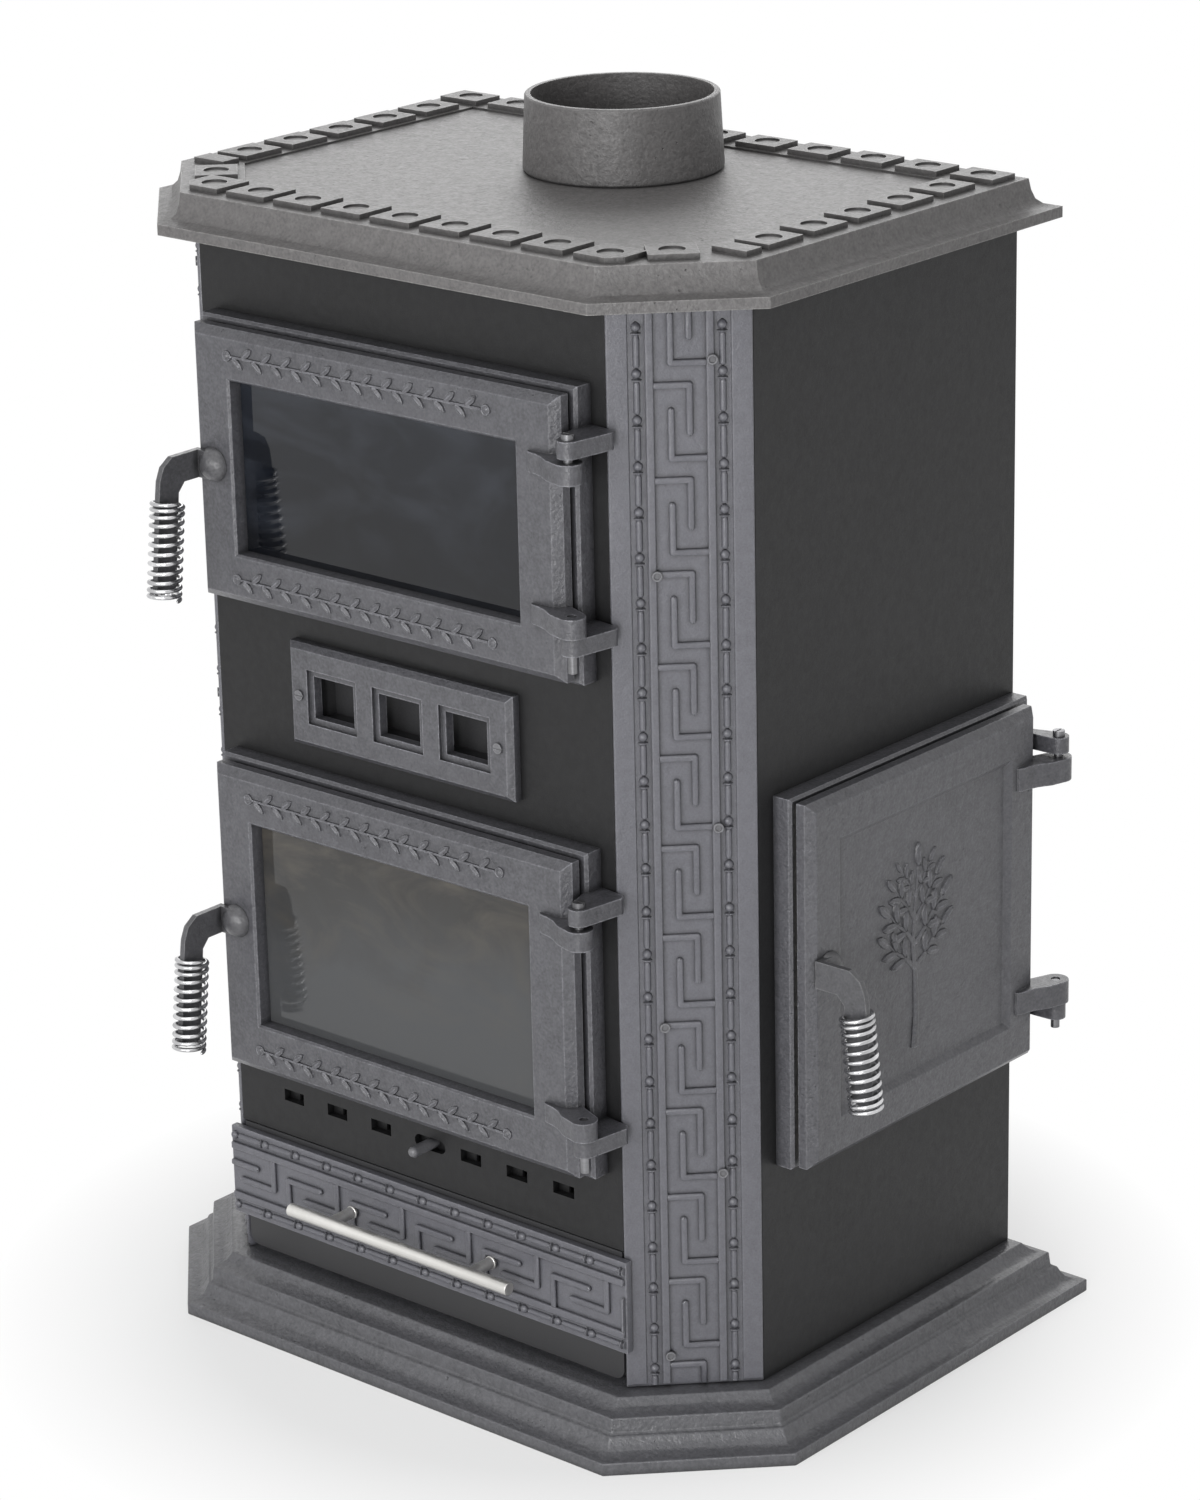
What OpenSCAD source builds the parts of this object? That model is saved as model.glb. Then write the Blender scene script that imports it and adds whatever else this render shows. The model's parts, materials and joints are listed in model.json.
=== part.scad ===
// Cast iron range cooker: a glazed oven over a glazed firebox, a fuel door in the right side,
// a hob with a flue collar on top and an ash drawer at the foot. Millimetres, +Z up.
// Origin on the floor under the middle of the body. The glazed doors face -Y, the fuel door +X.
//
// Doors, grilles and panels are drawn flat, as on a bench: x runs along the panel, y is the height
// above the floor and z is the distance out from the panel's face. on_front(), on_side() and
// on_corner() then stand them up against the body.

/* [Body] */
// Width of the body over its side panels
body_w = 508; // [480:1:620]
// Depth of the body over its front and back panels
body_d = 360; // [330:1:440]
// Leg of the 45 degree cut at each front corner
corner_leg = 68.6; // [60:0.1:72]
// Height of the hob's rim above the floor
hob_z = 850; // [820:1:1020]
// Thickness of the cast panels
panel_t = 6; // [4:0.5:8]

/* [Plinth] */
// Height of the plinth
plinth_h = 43; // [38:0.5:52]
// How far the plinth stands out at the sides
plinth_side = 46; // [42:0.5:60]
// How far the plinth stands out at the front
plinth_front = 49.4; // [44:0.2:60]
// How far the plinth stands out at the back
plinth_back = 38; // [34:0.5:50]
// Thickness of the deck that the body stands on
deck_t = 6; // [5:0.5:8]

/* [Hob] */
// How far the hob's lip hangs over the side panels
hob_side = 25.8; // [24:0.2:34]
// How far the hob's lip hangs over the front panel
hob_front = 29.3; // [27:0.2:38]
// How far the hob's lip hangs over the back panel
hob_back = 17.7; // [17:0.1:24]
// Thickness of the hob plate
hob_t = 8; // [6:0.5:12]
// Height of the moulded edge below the rim
hob_edge = 28.2; // [26:0.2:34]
// Wall of the moulded edge at its lip
hob_wall = 7; // [5:0.5:8]
// Depth of the cooking field below the rim
field_drop = 1.5; // [1:0.1:3]
// Height of a border tile above the rim
tile_rise = 3.8; // [1:0.1:5]
// Length of a border tile along its edge
tile_len = 36; // [30:0.5:40]
// Depth of a front border tile
tile_deep = 32; // [28:0.5:34]
// Depth of a side or back border tile
tile_narrow = 29; // [26:0.5:32]
// Radius of the dimple in a tile
dimple_r = 9; // [7:0.5:11]
// Pitch of the front tiles
front_pitch = 45.2; // [43:0.1:52]
// Pitch of the side tiles
side_pitch = 47.3; // [43:0.1:52]
// Distance from the rim to the middle of the front tiles
front_row_in = 25.4; // [24:0.1:28]
// Distance from the rim to the middle of the side tiles
side_row_in = 24.9; // [23:0.1:28]
// Distance from the rim to the middle of the back tiles
back_row_in = 18.8; // [17:0.1:22]
// Distance from the rim to the middle of a corner tile
corner_row_in = 25; // [24:0.1:28]
// Length of a corner tile along its edge
corner_len = 34; // [30:0.5:38]
// Depth of a corner tile
corner_deep = 30; // [26:0.5:32]

/* [Flue collar] */
// Inner radius of the collar, for a 125 mm flue pipe
flue_r = 64.5; // [58:0.5:76]
// Outer radius at the collar's rim
collar_rim_r = 68.8; // [62:0.1:80]
// Outer radius at the collar's foot
collar_foot_r = 71.3; // [64:0.1:84]
// Height of the collar above the cooking field
collar_h = 54.1; // [45:0.1:80]
// Place of the collar's axis behind the origin
flue_y = 53.8; // [30:0.2:60]
// Place of the collar's axis to the right of the origin
flue_x = 4.6; // [-10:0.2:10]
// Height of the ledge that the pipe stands on
ledge_h = 13.5; // [11:0.5:16]
// Width of that ledge
ledge_w = 13.5; // [12.5:0.5:16]

/* [Doors] */
// Width of the two front door leaves
leaf_w = 337; // [300:1:340]
// Foot of the upper leaf above the floor
upper_z = 567; // [560:1:600]
// Height of the upper leaf
upper_h = 197; // [180:1:220]
// Foot of the lower leaf above the floor
lower_z = 208; // [206:1:216]
// Height of the lower leaf
lower_h = 232; // [200:1:236]
// Width of the fuel door's leaf
side_w = 261.5; // [210:0.5:264]
// Rear edge of the fuel door's leaf, behind the origin
side_edge = 168; // [160:1:200]
// Foot of the fuel door's leaf above the floor
side_z = 205; // [203:1:216]
// Height of the fuel door's leaf
side_h = 268; // [220:1:270]
// Thickness of a leaf
leaf_t = 13; // [11:0.5:16]
// Bevel round a leaf
leaf_bevel = 6; // [3:0.5:7]
// Gap between a leaf and its frame, taken up by the rope seal
seal_gap = 3; // [2.5:0.1:4]
// Thickness of a door frame
frame_t = 15; // [13:0.5:17]
// Bevel round a door frame
frame_bevel = 2; // [1:0.5:5]
// How far a front frame shows round its leaf
frame_show = 4; // [4:0.5:5]
// How far the fuel door's frame shows round its leaf
side_show = 2.2; // [2:0.1:4]
// How far the fuel door's frame shows at the hinge
side_hinge_show = 10.5; // [8:0.5:14]
// Lap of a leaf over its frame's opening
frame_lap = 13; // [12:0.5:16]
// Margin between a leaf's edge and its glass at the sides
glass_margin_x = 36.5; // [34:0.5:44]
// Margin above and below the upper glass
upper_margin = 36; // [34:0.5:44]
// Margin above and below the lower glass
lower_margin = 38.5; // [34:0.5:44]
// Thickness of the glass
glass_t = 5; // [4:0.5:5]
// Depth of the glass behind its leaf's face
glass_in = 12; // [10:0.5:13]
// Lap of the glass behind its leaf
glass_lap = 6; // [4:0.5:8]
// Margin round the fuel door's sunk panel
sunk_margin = 31; // [26:1:36]
// Depth of the fuel door's sunk panel
sunk_depth = 4; // [2:0.5:5]
// Width of a rope seal
rope_w = 6; // [5:0.5:7]
// Depth of a rope seal's groove
rope_groove = 3; // [2:0.5:4]

/* [Hinges] */
// Distance of a hinge pin from its panel
pin_off = 38; // [34:0.5:44]
// Distance of a front door's pin beyond its leaf
pin_gap = 16.5; // [14:0.5:20]
// Distance of the fuel door's pin beyond its leaf
side_pin_gap = 15.5; // [14:0.5:20]
// Radius of a hinge pin
pin_r = 3.25; // [2.5:0.05:4]
// Running clearance round a hinge pin
pin_play = 0.05; // [0.02:0.01:0.1]
// Radius of a leaf's knuckle
knuckle_r = 9.5; // [8:0.1:11]
// Radius of a frame's lug
lug_r = 7.5; // [6.5:0.1:8.5]
// Height of a lug
lug_h = 12; // [10:0.5:14]
// Height of a front door's knuckle
knuckle_h = 14; // [12:0.5:16]
// Height of the fuel door's knuckle
side_knuckle_h = 17.5; // [14:0.5:20]
// Top of the upper lug below the leaf's top
upper_lug_drop = 24; // [22:1:40]
// Foot of the lower lug above the leaf's foot
lower_lug_rise = 27; // [24:1:40]
// Vertical gap between a lug and the knuckle that rests on it
knuckle_gap = 0.3; // [0.2:0.05:0.5]
// Vertical gap between the upper lug and the knuckle under it
upper_gap = 3.2; // [2:0.1:5]
// How far a front door's lower pin hangs below its lug
pin_drop = 13; // [6:0.5:15]
// How far the fuel door's lower pin hangs below its lug
side_pin_drop = 8; // [5:0.5:12]

/* [Handles] */
// Distance of a spindle from its leaf's free edge
spindle_in = 18.5; // [18.5:0.5:22]
// Radius of a spindle
spindle_r = 4; // [3:0.1:4]
// Radius of a handle's hub
hub_r = 12.4; // [10:0.1:14]
// Height of a handle's domed hub
hub_h = 9; // [8:0.5:12]
// Thickness of a handle's arm
arm_t = 4.5; // [3:0.5:5]
// Width of a handle's arm
arm_w = 20; // [16:0.5:22]
// Distance of the arm's plane from the spindle
arm_side = 13; // [11:0.5:14]
// Outer radius of a handle spring
spring_r = 13.75; // [13.5:0.05:16]
// Radius of the spring's wire
wire_r = 1.5; // [1.2:0.05:1.6]
// Curls of a handle spring
spring_turns = 12; // [8:1:12]
// Height of a handle spring along the door
spring_h = 69; // [66:1:80]
// Distance of the spring's top below the spindle
spring_drop = 21.5; // [20:0.5:30]
// Distance of the spring's top from the panel
spring_top_off = 65; // [63:0.5:72]
// Distance of the spring's foot from the panel
spring_foot_off = 73; // [65:0.5:80]
// Reach of a latch tongue from its spindle
tongue_len = 11; // [9:0.5:12]

/* [Vent and air] */
// Width of the vent grille
vent_w = 210; // [200:1:230]
// Height of the vent grille
vent_h = 76; // [70:1:84]
// How far the vent grille stands out
vent_t = 10; // [7:0.5:12]
// Bevel round the vent grille
vent_bevel = 4; // [2:0.5:6]
// Height of the vent's middle above the floor
vent_z = 501; // [495:1:510]
// Place of the vent's middle along the front
vent_x = -3; // [-10:1:10]
// Width of a vent window
window_w = 38; // [30:1:42]
// Height of a vent window
window_h = 31; // [24:1:36]
// Pitch of the vent windows
window_pitch = 62.7; // [58:0.1:66]
// Length of an air slot
slot_w = 19.5; // [14:0.5:21]
// Height of an air slot
slot_h = 9; // [5:0.5:10]
// Height of the air slots above the floor
slot_z = 179.5; // [177:0.5:182]
// Pitch of the air slots
slot_pitch = 43.7; // [40:0.1:46]
// Whole travel of the air slide, half of it to each side
air_travel = 19; // [16:0.5:20]
// Radius of the air slide's stud
stud_r = 4.2; // [3.5:0.05:4.5]
// Place of that stud along the front
stud_x = 4.3; // [-5:0.1:10]
// How far that stud stands out of the panel
stud_out = 21; // [15:0.5:35]

/* [Ash drawer] */
// Height of the drawer's opening above the floor
bay_top = 148; // [146:1:152]
// Width of the drawer's sheet front
sheet_w = 367; // [340:1:368]
// Width of the cast strip
strip_w = 385; // [370:1:390]
// Foot of the cast strip above the floor
strip_z = 73; // [66:1:80]
// Height of the cast strip
strip_h = 70.5; // [60:0.5:72]
// How far the cast strip stands out
strip_t = 9; // [7:0.5:12]
// Length of the bar handle
bar_len = 214; // [180:1:240]
// Radius of the bar handle
bar_r = 5; // [4.5:0.1:7]
// Distance of the bar from the front panel
bar_off = 33; // [28:0.5:42]
// Pitch of the beads along the strip
strip_bead_pitch = 31.7; // [28:0.1:36]
// Repeat of the strip's key pattern
strip_key_pitch = 64.9; // [60:0.1:70]
// Distance between the bar's posts
post_pitch = 136; // [110:1:150]
// Width of the ash tray
tray_w = 336; // [300:1:340]
// Depth of the ash tray
tray_d = 322; // [260:1:324]
// Height of the ash tray
tray_h = 89; // [60:1:90]

/* [Pilasters] */
// Height of the cast relief on the pilasters
relief = 2.6; // [1.5:0.1:4]
// Width of a rail beside the key pattern
rail_w = 5.5; // [4:0.5:7]
// Width of a bead column
bead_w = 11; // [9:0.5:12]
// Width of the field that the key pattern fills
field_w = 34.5; // [30:0.5:36]
// Pitch of the beads
bead_pitch = 31.2; // [28:0.1:36]
// Radius of a bead
bead_r = 2.75; // [2:0.05:4]
// Repeat of the key pattern
key_pitch = 64.3; // [60:0.1:70]
// Width of a ridge of the key pattern
ridge = 4.6; // [3.5:0.1:6]
// Reach of a hook's bar from its rail to the middle of its leg
key_reach = 23.4; // [20:0.1:26]
// Length of a hook's leg from the middle of its bar
key_leg = 36.9; // [30:0.1:40]
// Distance from a hook's bar to the bar of the hook that faces it
key_turn = 49.5; // [46:0.1:53]
// Radius of a ring screw's head
ring_head_r = 3.5; // [3:0.1:5]
// Radius of a ring screw's shank
ring_screw_r = 2.2; // [1.5:0.1:2.5]

/* [Inside] */
// Height of the fire grate's frame above the floor
grate_z = 190; // [190:1:194]
// Height of the fire bricks
brick_h = 260; // [220:1:262]
// Thickness of the fire bricks
brick_t = 25; // [20:1:30]
// Height of the flue baffle above the floor
baffle_z = 476; // [474:1:500]
// Width of the oven
oven_w = 344; // [336:1:360]
// Depth of the oven
oven_d = 294; // [240:1:300]
// Foot of the oven above the floor
oven_z = 556; // [546:1:566]
// Height of the oven
oven_h = 216; // [212:1:220]
// Wall of the oven
oven_wall = 4; // [3:0.5:5]

/* [Hidden] */
$fn = 48;

iron = "#5a5a5e";
dark_iron = "#3c3c40";
sheet_black = "#2c2c2e";
bright_steel = "#c4c4c8";
brick_buff = "#b9a078";
rope_grey = "#8c8a84";
glass_tint = "#3a3c46";

half_w = body_w / 2;
half_d = body_d / 2;
edge_gain = 2 - sqrt(2);          // growth of a corner leg for each millimetre of offset
face_w = corner_leg * sqrt(2);    // width of a pilaster
deck_top = plinth_h;
wall_top = hob_z - hob_t;
wall_h = wall_top - deck_top;
field_z = hob_z - field_drop;
eps = 0.01;
fit = 0.1;                        // clearance of a seated part
run = 0.3;                        // clearance of a sliding part
screw_r = 3;
bolt_head_r = 5.2;

// A door: [0] leaf, [1] frame, [2] glass (empty on the fuel door), [3] pin x, [4] spindle height,
// [5] knuckle height, [6] foot of the lugs as [x, distance out, radius], [7] drop of the lower pin.
// Rectangles are [x0, x1, y0, y1].
function grow(r, d) = [r[0] - d, r[1] + d, r[2] - d, r[3] + d];
function front_door(z, h, margin) = let (leaf = [-leaf_w / 2, leaf_w / 2, z, z + h]) [
    leaf,
    grow(leaf, frame_show),
    [leaf[0] + glass_margin_x, leaf[1] - glass_margin_x, leaf[2] + margin, leaf[3] - margin],
    leaf[1] + pin_gap,
    z + h / 2,
    knuckle_h,
    [leaf[1] + pin_gap + 7, 8, 5],
    pin_drop
];
upper_door = front_door(upper_z, upper_h, upper_margin);
lower_door = front_door(lower_z, lower_h, lower_margin);
side_leaf = [side_edge - side_w, side_edge, side_z, side_z + side_h];
side_door = [
    side_leaf,
    [side_leaf[0] - side_show, side_edge + side_hinge_show, side_z - side_show, side_z + side_h + side_show],
    [],
    side_edge + side_pin_gap,
    side_z + side_h / 2 + 12,
    side_knuckle_h,
    [side_edge + side_hinge_show - 1, 4, 3.5],
    side_pin_drop
];
leaf_back = frame_t + seal_gap;
leaf_face = leaf_back + leaf_t;
rim_back = leaf_face - glass_in - glass_t;

// ---------- helpers ----------

// Plan outline of the body, grown by its own overhang on each side and then by t all round.
function outline(side, front, back, t = 0) =
    let (w = half_w + side + t, f = half_d + front + t, b = half_d + back + t)
    let (leg = corner_leg + edge_gain * (min(side, front) + t))
    [[-w, b], [-w, leg - f], [leg - w, -f], [w - leg, -f], [w, leg - f], [w, b]];

function rect(r, inset = 0) = [
    [r[0] + inset, r[2] + inset], [r[1] - inset, r[2] + inset],
    [r[1] - inset, r[3] - inset], [r[0] + inset, r[3] - inset]
];

// Solid through a stack of [outline, height] rings, all with the same number of corners.
module stack(rings) {
    n = len(rings[0][0]);
    m = len(rings);
    points = [for (r = rings) for (p = r[0]) [p[0], p[1], r[1]]];
    sides = [for (k = [0:m - 2]) for (i = [0:n - 1])
        let (j = (i + 1) % n) [k * n + i, (k + 1) * n + i, (k + 1) * n + j, k * n + j]];
    polyhedron(points, concat([[for (i = [0:n - 1]) i]], sides, [[for (i = [n - 1:-1:0]) (m - 1) * n + i]]));
}

// Plate on the rectangle r from z upwards, its upper edge cut by a bevel.
module bevelled(r, z, t, bevel) {
    stack([[rect(r), z], [rect(r), z + t - bevel], [rect(r, bevel), z + t]]);
}

module block(r, z, t) {
    translate([r[0], r[2], z]) cube([r[1] - r[0], r[3] - r[2], t]);
}

module rod(x, y, z, r, h) {
    translate([x, y, z]) cylinder(r = r, h = h);
}

// Extrudes a plan drawn in (x, distance out) along the height, from y up by h.
module upright(y, h) {
    translate([0, y + h, 0]) rotate([90, 0, 0]) linear_extrude(h) children();
}

// Extrudes a side view drawn in (height, distance out) along x, from x by t.
module sideways(x, t) {
    translate([x, 0, 0]) rotate([90, 0, 90]) linear_extrude(t) children();
}

module on_front() {
    translate([0, -half_d, 0]) rotate([90, 0, 0]) children();
}

module on_side() {
    translate([half_w, 0, 0]) rotate([90, 0, 90]) children();
}

module on_corner() {
    translate([half_w - corner_leg, -half_d, 0]) rotate([0, 0, 45]) rotate([90, 0, 0]) children();
}

module capsule(x0, x1, r) {
    translate([x0, -r]) square([x1 - x0, 2 * r]);
    translate([x0, 0]) circle(r);
    translate([x1, 0]) circle(r);
}

// Point where the line from p touches the circle round c; side picks one of the two.
function tangent(c, r, p, side) =
    let (v = p - c, a = atan2(v[1], v[0]) + side * acos(r / norm(v)))
    c + r * [cos(a), sin(a)];

// Both ends of the line that touches the circles [x, y, r] p and q on the same side.
function common_tangent(p, q, side) =
    let (v = [q[0] - p[0], q[1] - p[1]], a = atan2(v[1], v[0]) + side * acos((p[2] - q[2]) / norm(v)))
    [for (c = [p, q]) [c[0] + c[2] * cos(a), c[1] + c[2] * sin(a)]];

// ---------- body ----------

plinth_steps = [
    [0, 0], [0, 9.5], [-2.5, 10], [-7.5, 11.3], [-11.5, 13.4], [-14, 17], [-16, 21.5], [-18.5, 22.5],
    [-19.5, 24], [-20.5, 33.5], [-23, 34], [-27, 35.2], [-31, 37.4], [-33.6, 40.2], [-35, 42.4], [-39, 43]
];

plinth_hollow = [
    [-9, -1], [-9, 4], [-14, 6.5], [-20, 10], [-25, 15], [-28.5, 20], [-28.5, 26], [-33, 30], [-39, 33], [-44, 37]
];

module plinth_solid(steps, height) {
    top = steps[len(steps) - 1][1];
    stack([for (s = steps) [outline(plinth_side, plinth_front, plinth_back, s[0]), s[1] * height / top]]);
}

module base_plinth() {
    color(dark_iron) difference() {
        plinth_solid(plinth_steps, plinth_h);
        difference() {
            plinth_solid(plinth_hollow, deck_top - deck_t);
            plinth_ribs();
        }
    }
}

// Two crossing ribs under the deck, down to the floor.
module plinth_ribs() {
    rib = 8;
    translate([-body_w, -rib / 2, -1]) cube([2 * body_w, rib, plinth_h]);
    translate([-rib / 2, -body_d, -1]) cube([rib, 2 * body_d, plinth_h]);
}

// Panel number i of the six that stand round the body, mitred to its neighbours.
module wall(i, z0 = deck_top) {
    outer = outline(0, 0, 0);
    inner = outline(0, 0, 0, -panel_t);
    j = (i + 1) % 6;
    translate([0, 0, z0]) linear_extrude(wall_top - z0)
        polygon([outer[i], outer[j], inner[j], inner[i]]);
}

function frame_hole(door) = grow(door[0], -frame_lap);

// Places of a frame's four bolts, near the corners of its opening.
function bolt_places(door) = let (r = grow(frame_hole(door), (door[1][3] - frame_hole(door)[3]) / 2))
    [for (x = [r[0] + 45, r[1] - 45], y = [r[2], r[3]]) [x, y]];

module bolt_row(door, r, z, h) {
    for (p = bolt_places(door)) rod(p[0], p[1], z, r, h);
}

module panel_cuts(door) {
    block(frame_hole(door), -panel_t - 1, panel_t + 2);
    bolt_row(door, screw_r + fit, -panel_t - 1, panel_t + 2);
}

module front_panel() {
    color(iron) difference() {
        wall(2, bay_top);
        on_front() {
            panel_cuts(upper_door);
            panel_cuts(lower_door);
            block(grow(vent_windows(), -2), -panel_t - 1, panel_t + 2);
            for (x = vent_screw_places()) rod(x, vent_z, -panel_t - 1, screw_r + fit, panel_t + 2);
            translate([0, 0, -panel_t - 1]) linear_extrude(panel_t + 2) air_slots();
            translate([0, slot_z, -panel_t - 1]) linear_extrude(panel_t + 2)
                capsule(stud_x - air_travel / 2 - run, stud_x + air_travel / 2 + run, stud_r + 0.8);
        }
    }
}

// A shelf cast on the inside of a side panel, under the grate frame and the baffle.
module side_ledges() {
    for (z = [grate_z, baffle_z])
        translate([panel_t - half_w, -80, z - 8]) cube([10, 220, 8]);
}

module left_panel() {
    color(iron) {
        wall(0);
        side_ledges();
    }
}

module right_panel() {
    color(iron) difference() {
        union() {
            wall(4);
            mirror([1, 0, 0]) side_ledges();
        }
        on_side() panel_cuts(side_door);
        on_side() bolt_row(side_door, bolt_head_r + 1, -panel_t - 12, 12);
    }
}

module back_panel() {
    color(iron) wall(5);
}

// ---------- pilasters ----------

band = (face_w - 2 * bead_w - 2 * rail_w - field_w) / 2;
rail_in = band + bead_w;
field_in = rail_in + rail_w;
pattern_foot = deck_top + 2;
pattern_top = hob_z - hob_edge - 2;
first_key = hob_z - 83.4 + key_pitch;     // the highest hook starts under the hob's lip
first_bead = hob_z - 43.8;
screw_heights = [for (h = [783.5, 637.8, 459.4, 315.9, 205.4, 67.3]) h * hob_z / 850];

// One hook of the key pattern: a bar from the rail, and a leg that turns down from its end.
module key_hook() {
    r = ridge / 2;
    translate([-eps, -r]) square([key_reach + eps, ridge]);
    translate([key_reach - r, r - key_leg]) square([ridge, key_leg - r]);
    for (y = [0, r - key_leg]) translate([key_reach, y]) circle(r, $fn = 24);
}

// Pairs of facing hooks, one pair under the other from the origin down.
module key_pattern(pitch, count) {
    for (k = [0:count - 1]) translate([0, -k * pitch]) {
        key_hook();
        translate([field_w, -key_turn]) rotate(180) key_hook();
    }
}

// Key pattern of the given pitch, cut to the field between the heights y0 and y1.
module key_field(pitch, first, y0, y1) {
    intersection() {
        translate([0, first]) key_pattern(pitch, ceil((first - y0) / pitch));
        translate([-1, y0]) square([field_w + 2, y1 - y0]);
    }
}

// Half-round bar that ends in a collar and a ball, as [radius, height] with the ball's middle at z.
function bead_profile(z) = [
    [0.3, z - 6.4], [0.95, z - 4.4], [0.3, z - 2.8], [0.75, z - 1.9], [1, z], [0.75, z + 1.9], [0.35, z + 2.9],
    [0.85, z + 4.2]
] * [[bead_r, 0], [0, 1]];

// Column of beads from y0 to y1, with the ball of the highest one at first.
module bead_column(pitch, first, y0, y1) {
    count = ceil((first - y0 + 7) / pitch);
    beads = [for (k = [count - 1:-1:0]) each bead_profile(first - k * pitch)];
    kept = [for (p = beads) if (p[1] > y0 + 0.5 && p[1] < y1 - 0.5) p];
    ends = [kept[0][0], kept[len(kept) - 1][0]];
    rotate([-90, 0, 0]) rotate_extrude($fn = 24)
        polygon(concat([[0, y0], [ends[0], y0]], [for (p = kept) [p[0], p[1]]], [[ends[1], y1], [0, y1]]));
}

// Relief between the heights y0 and y1, on a face at z: two bead columns, two rails and the key pattern.
module key_relief(z, y0, y1, key_step, key_at, bead_step, bead_at) {
    for (x = [-rail_w, field_w]) block([x, x + rail_w, y0, y1], z - 1, relief + 1);
    translate([0, 0, z - 1]) linear_extrude(relief + 1) key_field(key_step, key_at, y0, y1);
    for (x = [-rail_w - bead_w / 2, field_w + rail_w + bead_w / 2])
        translate([x, 0, z]) bead_column(bead_step, bead_at, y0, y1);
}

module pilaster() {
    color(iron) difference() {
        union() {
            wall(3);
            on_corner() translate([field_in, 0, 0])
                key_relief(0, pattern_foot, pattern_top, key_pitch, first_key, bead_pitch, first_bead);
        }
        on_corner() {
            screw_row(ring_screw_r + fit, -panel_t - 1, panel_t + 10);
            screw_row(ring_head_r + run, relief, 10);
        }
    }
}

// The ring screws stand on the two rails in turn.
module screw_row(r, z, h) {
    for (k = [0:5])
        rod(k % 2 == 0 ? face_w - rail_in - 1.5 : rail_in + rail_w, screw_heights[k], z, r, h);
}

module left_pilaster() {
    mirror([1, 0, 0]) pilaster();
}

module right_pilaster() {
    pilaster();
}

module both_corners() {
    on_corner() children();
    mirror([1, 0, 0]) on_corner() children();
}

module corner_bars() {
    bar = [face_w / 2 - 28, face_w / 2 + 28, deck_top + 2, wall_top - 4];
    color(dark_iron) both_corners() difference() {
        block(bar, -panel_t - fit - 8, 8);
        screw_row(ring_screw_r + fit, -panel_t - 20, 30);
    }
}

module pilaster_screws() {
    color(dark_iron) both_corners() {
        screw_row(ring_screw_r, -panel_t - 9, panel_t + 9 + relief + 1);
        difference() {
            screw_row(ring_head_r, relief + fit, 1.8);
            screw_row(ring_head_r - 1.3, relief + 1.1, 2);
        }
    }
}

// ---------- hob ----------

hob_steps = [
    [0, 0], [0, 7.8], [-3.5, 8.4], [-9.5, 10.2], [-13.5, 14], [-15.6, 20.2], [-16.9, 28.2]
];

hob_hollow = [[0, -1], [0, 2], [-6, 4.5], [-12, 8.5], [-13.5, 14]];
hob_rise = hob_steps[len(hob_steps) - 1][1];
hob_rim = hob_steps[len(hob_steps) - 1][0];       // the rim's outline against the lip's

function hob_outline(t) = outline(hob_side, hob_front, hob_back, t);

module top_plate() {
    color(iron) difference() {
        union() {
            stack([for (s = hob_steps) [hob_outline(s[0]), hob_z - hob_edge + s[1] * hob_edge / hob_rise]]);
            intersection() {
                translate([0, 0, hob_z - hob_t]) linear_extrude(hob_t + tile_rise) tile_plan();
                translate([0, 0, hob_z - hob_t]) linear_extrude(hob_t + tile_rise)
                    polygon(hob_outline(hob_rim - 6.5));
            }
        }
        stack([for (s = hob_hollow) [hob_outline(s[0] - hob_wall), hob_z - hob_edge + s[1]]]);
        translate([0, 0, hob_z - hob_edge - 1]) linear_extrude(hob_edge - hob_t + 1)
            polygon(outline(0, 0, 0, fit));
        translate([0, 0, field_z]) linear_extrude(10) polygon(field_plan());
        translate([0, 0, hob_z + tile_rise]) for (t = tiles)
            translate([t[0], t[1], 0]) cylinder(r = dimple_r, h = 3, center = true);
        rod(flue_x, flue_y, hob_z - 20, flue_r - ledge_w, 40);
        collar_bolt_row(screw_r + fit, hob_z - 20, 40);
    }
}

rim = hob_outline(hob_rim);
row_front = rim[2][1] + front_row_in;
row_side = rim[4][0] - side_row_in;
row_back = rim[5][1] - back_row_in;
back_pitch = row_side / 5;
corner_x = (rim[3][0] + rim[4][0]) / 2 - corner_row_in * sqrt(1 / 2);
corner_y = (rim[3][1] + rim[4][1]) / 2 + corner_row_in * sqrt(1 / 2);

// The tiles of the border as [x, y, width, depth, turn]. Each has a dimple.
tiles = concat(
    [for (k = [-4:4]) [k * front_pitch, row_front, tile_len, tile_deep, 0]],
    [for (k = [-5:5]) [k * back_pitch, row_back, tile_len, tile_narrow, 0]],
    [for (s = [-1, 1]) for (k = [1:5]) [s * row_side, row_back - k * side_pitch, tile_narrow, tile_len, 0]],
    [for (s = [-1, 1]) [s * corner_x, corner_y, corner_len, corner_deep, s * 45]]
);

// Short tiles without a dimple, where each side row meets the corner.
end_tiles = [for (s = [-1, 1])
    [s * row_side, row_back - 5.75 * side_pitch + 2, tile_narrow, tile_len / 2 - 2, 0]];

module tile_plan() {
    for (t = concat(tiles, end_tiles)) translate([t[0], t[1]]) rotate(t[4]) square([t[2], t[3]], center = true);
}

// Cooking field inside the border: set back from every row of tiles.
function field_plan() =
    let (x = row_side - tile_narrow / 2 - 3, y0 = row_front + tile_deep / 2 + 3)
    let (y1 = row_back - tile_narrow / 2 - 3)
    let (leg = max(0, x - y0 - (corner_x - corner_y) + 20 * sqrt(2)))
    [[-x, y1], [-x, y0 + leg], [leg - x, y0], [x - leg, y0], [x, y0 + leg], [x, y1]];

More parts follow.
